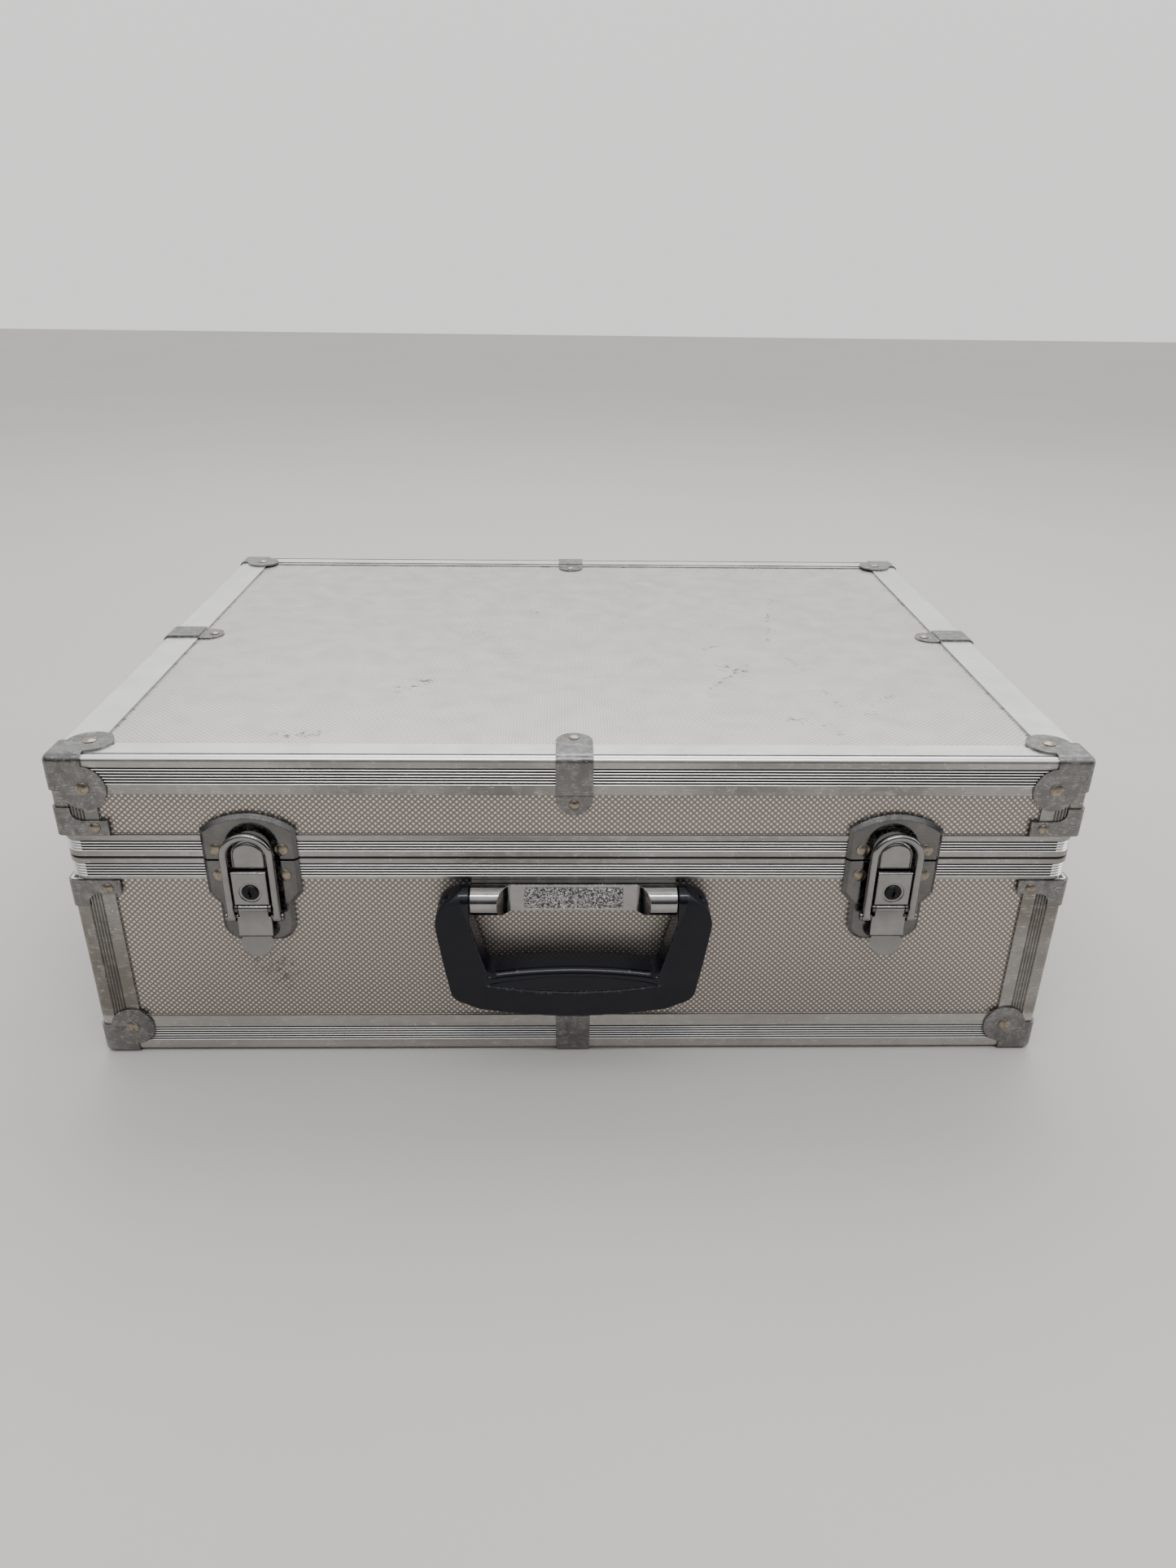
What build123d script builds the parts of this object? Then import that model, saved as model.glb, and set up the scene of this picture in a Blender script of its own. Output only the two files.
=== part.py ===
"""Aluminium-framed poker chip case: hinged lid, two toggle latches with key locks, a carrying handle,
slotted lid stays and two chip trays.

Millimetres, +Z up. X runs along the width and the front faces -Y. The origin is on the ground, in the
middle of the whole object's footprint. The case stands on its bottom corner caps.
"""

import os
from math import cos, radians, sin

from build123d import *

# Case frame
CASE_W = 460.0
CASE_D = 340.0
CASE_H = 160.0
PLATE_T = 1.0  # pressed caps, brackets and clips, proud of the frame
EDGE_R = 2.6  # rounding of the frame's outer edges
BOTTOM = PLATE_T
TOP = BOTTOM + CASE_H
SPLIT = BOTTOM + 110.0

# How far the handle reaches past the front, and the hinges past the rear
FRONT_REACH = 17.0
REAR_REACH = 7.0
CASE_Y = (FRONT_REACH - REAR_REACH) / 2

# Walls, measured inwards from the frame's outer faces
RAIL_T = 1.3
SKIN_T = 0.4
BOARD_T = 5.0
SKIN_OUT = RAIL_T
SKIN_IN = SKIN_OUT + SKIN_T
BOARD_IN = SKIN_IN + BOARD_T
LINER_T = 0.6
LINER_IN = BOARD_IN + LINER_T

# Edge rails
LID_LEG = 18.1
BASE_LEG = 21.0
LONG_FLANGE = 16.0
SIDE_FLANGE = 19.0
POST_LEG = 19.3
MITRE_GAP = 0.05
RIB_PITCH = 1.4
RIB_W = 1.15
RIB_DEEP = 0.5
LID_RIBS = (5.0, 6)  # distance of the first groove from the edge, and how many
BASE_RIBS = (6.2, 6)
POST_RIBS = (6.4, 5)
LID_RIM_RIBS = (3.2, 4)  # the rims' grooves are measured from the split
BASE_RIM_RIBS = (2.9, 5)
FLANGE_GROOVE_AT = 2.2
FLANGE_GROOVE_W = 2.0
FLANGE_GROOVE_DEEP = 0.4
FLANGE_STEP_AT = 12.6
FLANGE_STEP_DEEP = 0.5

# Mating rims
RIM_R = 8.0
RIM_IN = 8.0
BASE_RIM_LOW = BOTTOM + 98.6
LID_RIM_HIGH = BOTTOM + 121.5
TAB_DEEP = 5.0
TAB_CLEAR = 0.1
TAB_END_CLEAR = 0.5
LIP_H = 1.4
RIM_LIP_OUT = 0.5
TONGUE_OUT = 3.5
TONGUE_IN = 5.0
TONGUE_H = 4.0
GROOVE_OUT = 3.2
GROOVE_IN = 6.3
GROOVE_H = 4.6

# Corner caps, brackets and clips
CAP_SQUARE = 16.0
LOBE_R = 10.3
LOBE_AT = 15.0
BRACKET_ARM = 23.0
BRACKET_LEG_W = 7.5
BRACKET_LEG_H = 13.7
BRACKET_H = 7.2
NOTCH_R = 4.5
BRACKET_GAP = 0.3
CLIP_W = 16.6
CLIP_ROOT = 1.5  # how far a clip's tail runs back into its band
CLIP_DOWN = 28.4
CLIP_OVER = 28.4
CLIP_OVER_SIDE = 30.8

# Rivets
RIVET_R = 3.1
RIVET_H = 1.1
SMALL_RIVET_R = 2.5
FLUSH_RIVET_R = 2.1
SHANK_R = 1.5
CROWN_SHARE = 0.75  # how much of a head's height is domed
BRACKET_RIVET_IN = 17.0
LID_BRACKET_RIVET_Z = LID_RIM_HIGH + 4.0
BASE_BRACKET_RIVET_Z = BASE_RIM_LOW - 4.4
CLIP_RIVET_IN = 23.2
CLIP_RIVET_IN_SIDE = 25.6
CLIP_RIVET_IN_BASE = 11.0
LATCH_RIVET_X = 14.5
LATCH_RIVET_UP = SPLIT + 5.4
LATCH_RIVET_DOWN = SPLIT - 7.8
LEAF_RIVETS = (-13.0, 0.0, 13.0)
LEAF_RIVET_Z = 17.5

# Latches
LATCH_X = 146.0
LATCH_W = 42.8
FLANGE_H = 0.8
RAISED_H = 2.4
BEVEL = 2.2
PLATE_GAP = 0.5
ARCH_END = SPLIT + 15.2
ARCH_TOP = SPLIT + 22.9
WAIST_HIGH = BOTTOM + 92.3
WAIST_LOW = BOTTOM + 86.6
LOWER_W = 33.6
LOWER_END = BOTTOM + 66.4
LOWER_R = 9.0
DOME_W = 15.8
DOME_OUT = 6.2
DOME_TOP = SPLIT + 11.4
DOME_LOW = SPLIT - 2.1
DOME_CLEAR = 0.6
LOCK_HIGH = SPLIT - 2.8
LOCK_LOW = SPLIT - 20.0
LOCK_OUT = 9.0
KEY_Z = SPLIT - 13.3
KEY_R = 3.8
KEY_FIT = 0.06
KEY_EDGE = 0.4
KEY_RECESS_R = 5.0
KEY_RECESS_DEEP = 0.5
LEVER_Z = BOTTOM + 87.6
LEVER_OUT = 7.0
LEVER_ROLL_R = 2.0
LEVER_PIN_R = 1.0
LEVER_TOP_W = 13.2
LEVER_W = 15.4
LIP_TOP = BOTTOM + 72.6
LIP_END = BOTTOM + 63.3
EAR_IN = 6.9
EAR_OUT = 8.2
EAR_R = 2.2
BAIL_DROP = 5.0
BAIL_IN = 8.55
BAIL_STRAP = 3.6
BAIL_BACK = 6.5
BAIL_T = 2.5
BAIL_TOP = SPLIT + 16.3
BAIL_PIN_R = 1.1
BAIL_EYE_R = 2.4
PIN_FIT = 0.06
BEVEL_ANGLE = 50.0
LOCK_EDGE_R = 0.8
DOME_EDGE_R = 2.2
BAIL_EDGE_R = 1.5
BAIL_PIN_OUT = 6.3
BLADE_TOP_OUT = 8.9
BLADE_BOW_OUT = 8.1
BLADE_NARROW = 4.2
LEVER_T = 1.2
LIP_OUT = 9.4
LIP_STEP = 1.2
LIP_NOTCH_R = 0.9
BAIL_HEAD_R = 2.0
BAIL_HEAD_T = 0.8
BAIL_HEAD_GAP = 0.15
CAM_REACH = 6.0
CAM_W = 3.0
CAM_ROOM = 1.8
CAM_GAP = 0.3
CAM_SWING_GAP = 0.32
KEY_PROUD = 0.3
KEYWAY_W = 1.1
KEYWAY_L = 4.6
KEYWAY_DEEP = 1.2
KEY_MARK_R = 0.7

# Handle
BAR_HALF = 47.0
BARREL_R = 7.0
HANDLE_Z = BOTTOM + 91.5
HANDLE_OUT = 6.5
BAR_FACE = 5.0
SCALLOP_IN = 29.0
SCALLOP_OUT = 35.0
SCALLOP_MIDDLE = (32.6, 8.8)  # a point on the scallop's curve: across, and out from the face
INLAY_W = 45.4
INLAY_H = 11.2
INLAY_DEEP = 0.7
INLAY_R = 0.8
HANDLE_PIN_R = 2.0
HANDLE_PIN_IN = 36.0
HANDLE_PIN_OUT = 56.5
GRIP_GAP = 0.35
GRIP_END_R = 7.2
GRIP_LOW = BOTTOM + 33.2
GRIP_INNER = BOTTOM + 56.8
GRIP_BOW = 3.2
GRIP_BACK = 1.4
GRIP_BACK_Z = BOTTOM + 72.0  # the arms are thick below this and thin towards the pins
GRIP_FRONT = FRONT_REACH
GRIP_FRONT_Z = BOTTOM + 60.0
GRIP_TOP = HANDLE_Z + GRIP_END_R
# Half of the grip seen from the front: distance from the middle, height, and the corner's radius
GRIP_CORNERS = (
    (44.5, BOTTOM + 37.4, 7.0),
    (56.6, BOTTOM + 43.0, 7.0),
    (63.8, BOTTOM + 84.0, 14.0),
    (60.6, HANDLE_Z - 0.2, 8.0),
    (51.2, GRIP_TOP, 4.0),
    (BAR_HALF + GRIP_GAP, GRIP_TOP, 0.0),
    (BAR_HALF + GRIP_GAP, BOTTOM + 83.0, 0.0),
    (39.6, GRIP_INNER, 4.0),
)
SCOOP_HALF = 42.0
SCOOP_END_Z = BOTTOM + 51.0
SCOOP_TOP = BOTTOM + 56.0
SCOOP_LOW = BOTTOM + 46.7
SCOOP_DEEP = 1.1
HANDLE_SCREW_X = 18.0
HANDLE_SCREW_R = 2.0
HANDLE_SCREW_IN = 2.5
HANDLE_SCREW_HEAD_R = 3.6
HANDLE_SCREW_HEAD_T = 1.6

# Rear hinges
HINGE_X = 146.0
HINGE_W = 38.0
HINGE_OUT = 4.0
KNUCKLE_R = 3.0
HINGE_PIN_R = 1.5
KNUCKLE_GAP = 0.4
KNUCKLE_WEB = 2.4
LEAF_T = 1.2
LEAF_H = 24.0
LEAF_CLEAR = 2.4

# Lid stays: the arm turns on a stud in the lid and slides on a stud in the base
STAY_R = 60.0
STAY_HALF_ANGLE = 7.5
LID_OPEN = 95.0
STUD_R = 2.4
STUD_HEAD_R = 4.2
STUD_HEAD_T = 1.2
STUD_SHOULDER_R = 3.6
STUD_HEAD_GAP = 0.3
STAY_T = 1.4
STAY_HALF_W = 6.0
STAY_OUTER = 220.6
SLOT_HALF = 2.65
STAY_PLAY = 0.3

# Chip trays and foam
TRAY_HALF_X = 214.0
TRAY_HALF_Y = 160.5
TRAY_H = 49.5
TRAY_WALL = 6.0
CHIP_R = 20.5
DECK_H = 26.3
CHANNEL_L = 301.0
CHANNEL_PITCH = 43.2
CHANNELS_A_SIDE = 4
CHANNEL_FROM_WELL = 23.8
WELL_W = 66.0
CARD_L = 92.0
WELL_DEEP = 20.5
WELL_R = 3.0
DICE_L = 96.0
CARD_Y = 104.5
FOAM_LOW = SPLIT + 3.5
FOAM_HALF_Y = 156.0
FOAM_R = 6.0

FRONT = Plane(origin=(0, CASE_Y - CASE_D / 2, 0), x_dir=(1, 0, 0), z_dir=(0, -1, 0))
REAR = Plane(origin=(0, CASE_Y + CASE_D / 2, 0), x_dir=(-1, 0, 0), z_dir=(0, 1, 0))
LEFT = Plane(origin=(-CASE_W / 2, CASE_Y, 0), x_dir=(0, -1, 0), z_dir=(-1, 0, 0))
RIGHT = Plane(origin=(CASE_W / 2, CASE_Y, 0), x_dir=(0, 1, 0), z_dir=(1, 0, 0))
ROOF = Plane(origin=(0, CASE_Y, TOP), x_dir=(1, 0, 0), z_dir=(0, 0, 1))
UNDERSIDE = Plane(origin=(0, CASE_Y, BOTTOM), x_dir=(1, 0, 0), z_dir=(0, 0, -1))
MIDDLE_X = Plane.YZ
MIDDLE_Y = Plane(origin=(0, CASE_Y, 0), z_dir=(0, 1, 0))
LONG_FACES = (FRONT, REAR)
SIDE_FACES = (LEFT, RIGHT)

os.makedirs("parts", exist_ok=True)


def finish(piece, name):
    """Label one sub-part and write its file."""
    piece.label = name
    export_step(piece, f"parts/{name}.step")


def level(z):
    """A horizontal plane about the middle of the case."""
    return Plane(origin=(0, CASE_Y, z))


def half_length(face):
    """Half the length of the case along one of its faces."""
    return CASE_W / 2 if face in LONG_FACES else CASE_D / 2


def face_spot(face, along, up, out=0.0):
    """A place on a face, turned so that its Z axis points out of the case."""
    return face.location * Location((along, up, out))


def section(face, z, down):
    """The plane of a rail's section at the middle of a face: X points inwards, Y away from the edge."""
    inwards = face.z_dir * -1
    along = face.x_dir * (-1 if down else 1)
    origin = Vector(face.origin.X, face.origin.Y, z)
    return Plane(origin=origin, x_dir=inwards, z_dir=along)


def side_view(x):
    """The plane across the case at x, with its X axis pointing to the front and its Y axis up."""
    return Plane(origin=(x, 0, 0), x_dir=(0, -1, 0), z_dir=(-1, 0, 0))


def front_out(out):
    """The side view's coordinate of a point that stands out from the front face."""
    return CASE_D / 2 - CASE_Y + out


def rear_out(out):
    """The side view's coordinate of a point that stands out from the rear face."""
    return -(CASE_D / 2 + CASE_Y + out)


# ---------------------------------------------------------------- case block and rivets

with BuildPart() as case_block:
    with BuildSketch(level(BOTTOM)):
        Rectangle(CASE_W, CASE_D)
    extrude(amount=CASE_H)
    fillet(case_block.edges(), radius=EDGE_R)

with BuildPart() as plated_block:
    with BuildSketch(level(BOTTOM - PLATE_T)):
        Rectangle(CASE_W + 2 * PLATE_T, CASE_D + 2 * PLATE_T)
    extrude(amount=CASE_H + 2 * PLATE_T)
    fillet(plated_block.edges(), radius=EDGE_R + PLATE_T)

with BuildPart() as plate_shell:
    add(plated_block.part)
    add(case_block.part, mode=Mode.SUBTRACT)


def make_rivet(head_r, head_h, depth):
    """A domed rivet along Z, its head above the XY plane and its shank below."""
    crown_h = CROWN_SHARE * head_h
    crown_r = (head_r**2 + crown_h**2) / (2 * crown_h)
    middle_h = head_h - crown_r + (crown_r**2 - head_r**2 / 4) ** 0.5
    with BuildPart() as rivet:
        with BuildSketch(Plane.XZ):
            with BuildLine():
                Polyline(
                    (0, head_h),
                    (0, -depth),
                    (SHANK_R, -depth),
                    (SHANK_R, 0),
                    (head_r, 0),
                    (head_r, head_h - crown_h),
                )
                ThreePointArc((head_r, head_h - crown_h), (head_r / 2, middle_h), (0, head_h))
            make_face()
        revolve(axis=Axis.Z)
    return rivet.part


def make_flush_rivet(depth):
    """A rivet whose head is ground level with its plate."""
    with BuildPart() as rivet:
        with BuildSketch(Plane.XY):
            Circle(FLUSH_RIVET_R)
        extrude(amount=-depth)
    return rivet.part


def cap_spots(face, z):
    """The two lobe centres on one upright face."""
    along = half_length(face) - LOBE_AT
    return [face_spot(face, side * along, z, PLATE_T) for side in (-1, 1)]


def bracket_spots(face, z):
    """The two bracket rivets on one upright face."""
    along = half_length(face) - BRACKET_RIVET_IN
    return [face_spot(face, side * along, z, PLATE_T) for side in (-1, 1)]


def flat_cap_spots(face):
    """The four lobe centres on the roof or the underside."""
    x, y = CASE_W / 2 - LOBE_AT, CASE_D / 2 - LOBE_AT
    return [face_spot(face, sx * x, sy * y, PLATE_T) for sx in (-1, 1) for sy in (-1, 1)]


UPRIGHT_FACES = LONG_FACES + SIDE_FACES
THROUGH = BOARD_IN + PLATE_T
CLIP_STEP = PLATE_T - SKIN_OUT

big_rivet = make_rivet(RIVET_R, RIVET_H, THROUGH)
small_rivet = make_rivet(SMALL_RIVET_R, RIVET_H, THROUGH)
clip_rivet = make_rivet(SMALL_RIVET_R, RIVET_H, BOARD_IN + CLIP_STEP)
latch_rivet = make_rivet(RIVET_R, RIVET_H, RAISED_H + SKIN_IN)
leaf_rivet = make_rivet(SMALL_RIVET_R, RIVET_H, LEAF_T + BOARD_IN)
flush_rivet = make_flush_rivet(THROUGH)



def clip_spots(face, in_y, in_x, out):
    """The four clip rivets on the roof or the underside, one beside the middle of each edge."""
    x, y = CASE_W / 2 - in_x, CASE_D / 2 - in_y
    return [face_spot(face, along_x, along_y, out) for along_x, along_y in ((0, -y), (0, y), (-x, 0), (x, 0))]


lid_cap_spots = [s for face in UPRIGHT_FACES for s in cap_spots(face, TOP - LOBE_AT)] + flat_cap_spots(ROOF)
base_cap_spots = [s for face in UPRIGHT_FACES for s in cap_spots(face, BOTTOM + LOBE_AT)]
lid_bracket_spots = [s for face in UPRIGHT_FACES for s in bracket_spots(face, LID_BRACKET_RIVET_Z)]
base_bracket_spots = [s for face in UPRIGHT_FACES for s in bracket_spots(face, BASE_BRACKET_RIVET_Z)]
lid_clip_spots = [face_spot(face, 0, TOP - CLIP_RIVET_IN, CLIP_STEP) for face in UPRIGHT_FACES]
lid_clip_spots += clip_spots(ROOF, CLIP_RIVET_IN, CLIP_RIVET_IN_SIDE, CLIP_STEP)
base_clip_spots = clip_spots(UNDERSIDE, CLIP_RIVET_IN_BASE, CLIP_RIVET_IN_BASE, PLATE_T)
leaf_spots = [(side * HINGE_X + dx) for side in (-1, 1) for dx in LEAF_RIVETS]
latch_spots = [side * LATCH_X + dx for side in (-1, 1) for dx in (-LATCH_RIVET_X, LATCH_RIVET_X)]

with BuildPart() as lid_rivets:
    with Locations(*lid_cap_spots):
        add(big_rivet)
    with Locations(*lid_bracket_spots):
        add(small_rivet)
    with Locations(*lid_clip_spots):
        add(clip_rivet)
    with Locations(*[face_spot(FRONT, x, LATCH_RIVET_UP, RAISED_H) for x in latch_spots]):
        add(latch_rivet)
    with Locations(*[face_spot(REAR, x, SPLIT + LEAF_RIVET_Z, LEAF_T) for x in leaf_spots]):
        add(leaf_rivet)

with BuildPart() as base_rivets:
    with Locations(*base_cap_spots):
        add(big_rivet)
    with Locations(*flat_cap_spots(UNDERSIDE), *base_clip_spots):
        add(flush_rivet)
    with Locations(*base_bracket_spots):
        add(small_rivet)
    with Locations(*[face_spot(FRONT, x, LATCH_RIVET_DOWN, RAISED_H) for x in latch_spots]):
        add(latch_rivet)
    with Locations(*[face_spot(REAR, x, SPLIT - LEAF_RIVET_Z, LEAF_T) for x in leaf_spots]):
        add(leaf_rivet)

with BuildPart() as handle_screws:
    with BuildSketch(FRONT.offset(-BOARD_IN)):
        with Locations((-HANDLE_SCREW_X, HANDLE_Z), (HANDLE_SCREW_X, HANDLE_Z)):
            Circle(HANDLE_SCREW_HEAD_R)
    extrude(amount=HANDLE_SCREW_HEAD_T)
    with BuildSketch(FRONT.offset(-BOARD_IN)):
        with Locations((-HANDLE_SCREW_X, HANDLE_Z), (HANDLE_SCREW_X, HANDLE_Z)):
            Circle(HANDLE_SCREW_R)
    extrude(amount=BOARD_IN + HANDLE_SCREW_IN)

finish(lid_rivets.part, "lid_rivets")
finish(base_rivets.part, "base_rivets")
finish(handle_screws.part, "handle_screws")

# ---------------------------------------------------------------- boards and skins


def wall_sheet(faces, outer, inner, shortening, far, rim_edge, tab_end):
    """Sheets on two opposite walls, from far to the rim's edge, with a tab into the rim."""
    with BuildPart() as sheets:
        for face in faces:
            half = half_length(face)
            with BuildSketch(face.offset(-inner)):
                with Locations((0, (far + rim_edge) / 2)):
                    Rectangle(2 * (half - shortening), abs(rim_edge - far))
                with Locations((0, (rim_edge + tab_end) / 2)):
                    Rectangle(2 * (half - RIM_R - TAB_END_CLEAR), abs(tab_end - rim_edge))
            extrude(amount=inner - outer)
    return sheets.part


def flat_sheet(low, high, inset):
    """A level sheet with its edges inset from the frame."""
    with BuildPart() as sheet:
        with BuildSketch(level(low)):
            Rectangle(CASE_W - 2 * inset, CASE_D - 2 * inset)
        extrude(amount=high - low)
    return sheet.part


FLOOR_TOP = BOTTOM + BOARD_IN
LID_CEILING = TOP - BOARD_IN
BASE_FAR = BOTTOM + SKIN_IN
LID_FAR = TOP - SKIN_IN
BASE_TAB = BASE_RIM_LOW + TAB_DEEP - TAB_CLEAR
LID_TAB = LID_RIM_HIGH - TAB_DEEP + TAB_CLEAR

with BuildPart() as base_floor_board:
    add(flat_sheet(BASE_FAR, FLOOR_TOP, BOARD_IN))
    add(base_rivets.part, mode=Mode.SUBTRACT)

with BuildPart() as base_long_boards:
    add(wall_sheet(LONG_FACES, SKIN_IN, BOARD_IN, SKIN_IN, BASE_FAR, BASE_RIM_LOW, BASE_TAB))
    add(base_rivets.part, mode=Mode.SUBTRACT)
    add(handle_screws.part, mode=Mode.SUBTRACT)
base_front_board, base_rear_board = base_long_boards.part.solids().sort_by(Axis.Y)

with BuildPart() as base_side_boards:
    add(wall_sheet(SIDE_FACES, SKIN_IN, BOARD_IN, BOARD_IN, BASE_FAR, BASE_RIM_LOW, BASE_TAB))
    add(base_rivets.part, mode=Mode.SUBTRACT)

with BuildPart() as base_bottom_skin:
    add(flat_sheet(BOTTOM + SKIN_OUT, BASE_FAR, SKIN_OUT))
    add(base_rivets.part, mode=Mode.SUBTRACT)

with BuildPart() as base_long_skins:
    add(wall_sheet(LONG_FACES, SKIN_OUT, SKIN_IN, SKIN_OUT, BASE_FAR, BASE_RIM_LOW, BASE_TAB))
    add(base_rivets.part, mode=Mode.SUBTRACT)
    add(handle_screws.part, mode=Mode.SUBTRACT)

with BuildPart() as base_side_skins:
    add(wall_sheet(SIDE_FACES, SKIN_OUT, SKIN_IN, SKIN_IN, BASE_FAR, BASE_RIM_LOW, BASE_TAB))
    add(base_rivets.part, mode=Mode.SUBTRACT)

with BuildPart() as lid_top_board:
    add(flat_sheet(LID_CEILING, LID_FAR, BOARD_IN))
    add(lid_rivets.part, mode=Mode.SUBTRACT)

with BuildPart() as lid_long_boards:
    add(wall_sheet(LONG_FACES, SKIN_IN, BOARD_IN, SKIN_IN, LID_FAR, LID_RIM_HIGH, LID_TAB))
    add(lid_rivets.part, mode=Mode.SUBTRACT)
lid_front_board, lid_rear_board = lid_long_boards.part.solids().sort_by(Axis.Y)

with BuildPart() as lid_side_boards:
    add(wall_sheet(SIDE_FACES, SKIN_IN, BOARD_IN, BOARD_IN, LID_FAR, LID_RIM_HIGH, LID_TAB))
    add(lid_rivets.part, mode=Mode.SUBTRACT)

with BuildPart() as lid_top_skin:
    add(flat_sheet(LID_FAR, TOP - SKIN_OUT, SKIN_OUT))
    add(lid_rivets.part, mode=Mode.SUBTRACT)

with BuildPart() as lid_long_skins:
    add(wall_sheet(LONG_FACES, SKIN_OUT, SKIN_IN, SKIN_OUT, LID_FAR, LID_RIM_HIGH, LID_TAB))
    add(lid_rivets.part, mode=Mode.SUBTRACT)

with BuildPart() as lid_side_skins:
    add(wall_sheet(SIDE_FACES, SKIN_OUT, SKIN_IN, SKIN_IN, LID_FAR, LID_RIM_HIGH, LID_TAB))
    add(lid_rivets.part, mode=Mode.SUBTRACT)

for sheet_name, sheet in {
    "base_floor_board": base_floor_board.part,
    "base_front_board": base_front_board,
    "base_rear_board": base_rear_board,
    "base_side_boards": base_side_boards.part,
    "base_bottom_skin": base_bottom_skin.part,
    "base_long_skins": base_long_skins.part,
    "base_side_skins": base_side_skins.part,
    "lid_top_board": lid_top_board.part,
    "lid_front_board": lid_front_board,
    "lid_rear_board": lid_rear_board,
    "lid_side_boards": lid_side_boards.part,
    "lid_top_skin": lid_top_skin.part,
    "lid_long_skins": lid_long_skins.part,
    "lid_side_skins": lid_side_skins.part,
}.items():
    finish(sheet, sheet_name)

# ---------------------------------------------------------------- rails, posts and rims


def rib_grooves(ribs, down=False):
    """Cut fine V grooves into the outer face of a section that is being sketched."""
    first, count = ribs
    sign = -1 if down else 1
    for i in range(count):
        y = first + RIB_PITCH * (i + 0.5)
        with Locations((0, sign * y)):
            Polygon((0, -RIB_W / 2), (RIB_DEEP, 0), (0, RIB_W / 2), align=None, mode=Mode.SUBTRACT)


def edge_rail(face, z, down, leg, flange, ribs):
    """One L rail along an edge of a face, ribbed on its leg and mitred at both ends."""
    with BuildPart() as rail:
        with BuildSketch(section(face, z, down)):
            Rectangle(RAIL_T, leg, align=Align.MIN)
            Rectangle(flange, RAIL_T, align=Align.MIN)
            rib_grooves(ribs)
            if face in LONG_FACES:
                with Locations((FLANGE_GROOVE_AT, 0)):
                    Rectangle(FLANGE_GROOVE_W, FLANGE_GROOVE_DEEP, align=Align.MIN, mode=Mode.SUBTRACT)
                with Locations((FLANGE_STEP_AT, 0)):
                    Rectangle(flange, FLANGE_STEP_DEEP, align=Align.MIN, mode=Mode.SUBTRACT)
        extrude(amount=half_length(face), both=True)
        for side in (-1, 1):
            corner = face.origin + face.x_dir * side * half_length(face)
            away = (face.z_dir - face.x_dir * side).normalized()
            mitre = Plane(origin=corner + away * MITRE_GAP, z_dir=away)
            split(bisect_by=mitre, keep=Keep.TOP)
    return rail.part


def edge_rails(z, down, leg, ribs, rivets):
    """Four mitred rails round the top or the bottom edge of the case."""
    with BuildPart() as rails:
        for face in UPRIGHT_FACES:
            flange = LONG_FLANGE if face in LONG_FACES else SIDE_FLANGE
            add(edge_rail(face, z, down, leg, flange, ribs))
        add(case_block.part, mode=Mode.INTERSECT)
        add(rivets, mode=Mode.SUBTRACT)
    return rails.part


def corner_posts(low, high, rivets):
    """Four ribbed L posts, one down each upright edge of the case."""
    with BuildPart() as posts:
        with BuildSketch(Plane(origin=(-CASE_W / 2, CASE_Y - CASE_D / 2, low))):
            Rectangle(POST_LEG, POST_LEG, align=Align.MIN)
            with Locations((RAIL_T, RAIL_T)):
                Rectangle(POST_LEG, POST_LEG, align=Align.MIN, mode=Mode.SUBTRACT)
            rib_grooves(POST_RIBS)
            for i in range(POST_RIBS[1]):
                with Locations((POST_RIBS[0] + RIB_PITCH * (i + 0.5), 0)):
                    Polygon((-RIB_W / 2, 0), (0, RIB_DEEP), (RIB_W / 2, 0), align=None, mode=Mode.SUBTRACT)
        extrude(amount=high - low)
        mirror(about=MIDDLE_X)
        mirror(about=MIDDLE_Y)
        add(case_block.part, mode=Mode.INTERSECT)
        add(rivets, mode=Mode.SUBTRACT)
    return posts.part


def rim_path(z):
    """The outline of the mating rims, from the middle of the front and round the four corners."""
    x, y = CASE_W / 2 - RIM_R, CASE_D / 2 - RIM_R
    with BuildLine(level(z)) as path:
        Line((0, -y - RIM_R), (x, -y - RIM_R))
        CenterArc((x, -y), RIM_R, -90, 90)
        Line((x + RIM_R, -y), (x + RIM_R, y))
        CenterArc((x, y), RIM_R, 0, 90)
        Line((x, y + RIM_R), (-x, y + RIM_R))
        CenterArc((-x, y), RIM_R, 90, 90)
        Line((-x - RIM_R, y), (-x - RIM_R, -y))
        CenterArc((-x, -y), RIM_R, 180, 90)
        Line((-x, -y - RIM_R), (0, -y - RIM_R))
    return path.wires()[0]


def rim_block(left, low, right, high):
    """A rectangle of a rim's section, between two insets and two heights from the split."""
    with Locations((left, low)):
        Rectangle(right - left, high - low, align=Align.MIN)


def rim_cut(left, low, right, high):
    """A rectangle cut out of a rim's section."""
    with Locations((left, low)):
        Rectangle(right - left, high - low, align=Align.MIN, mode=Mode.SUBTRACT)


base_edge_rails = edge_rails(BOTTOM, False, BASE_LEG, BASE_RIBS, base_rivets.part)
lid_edge_rails = edge_rails(TOP, True, LID_LEG, LID_RIBS, lid_rivets.part)
base_corner_posts = corner_posts(BOTTOM + BASE_LEG, BASE_RIM_LOW, base_rivets.part)
lid_corner_posts = corner_posts(LID_RIM_HIGH, TOP - LID_LEG, lid_rivets.part)
finish(base_edge_rails, "base_edge_rails")
finish(lid_edge_rails, "lid_edge_rails")
finish(base_corner_posts, "base_corner_posts")
finish(lid_corner_posts, "lid_corner_posts")

BASE_RIM_H = SPLIT - BASE_RIM_LOW
LID_RIM_H = LID_RIM_HIGH - SPLIT

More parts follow.
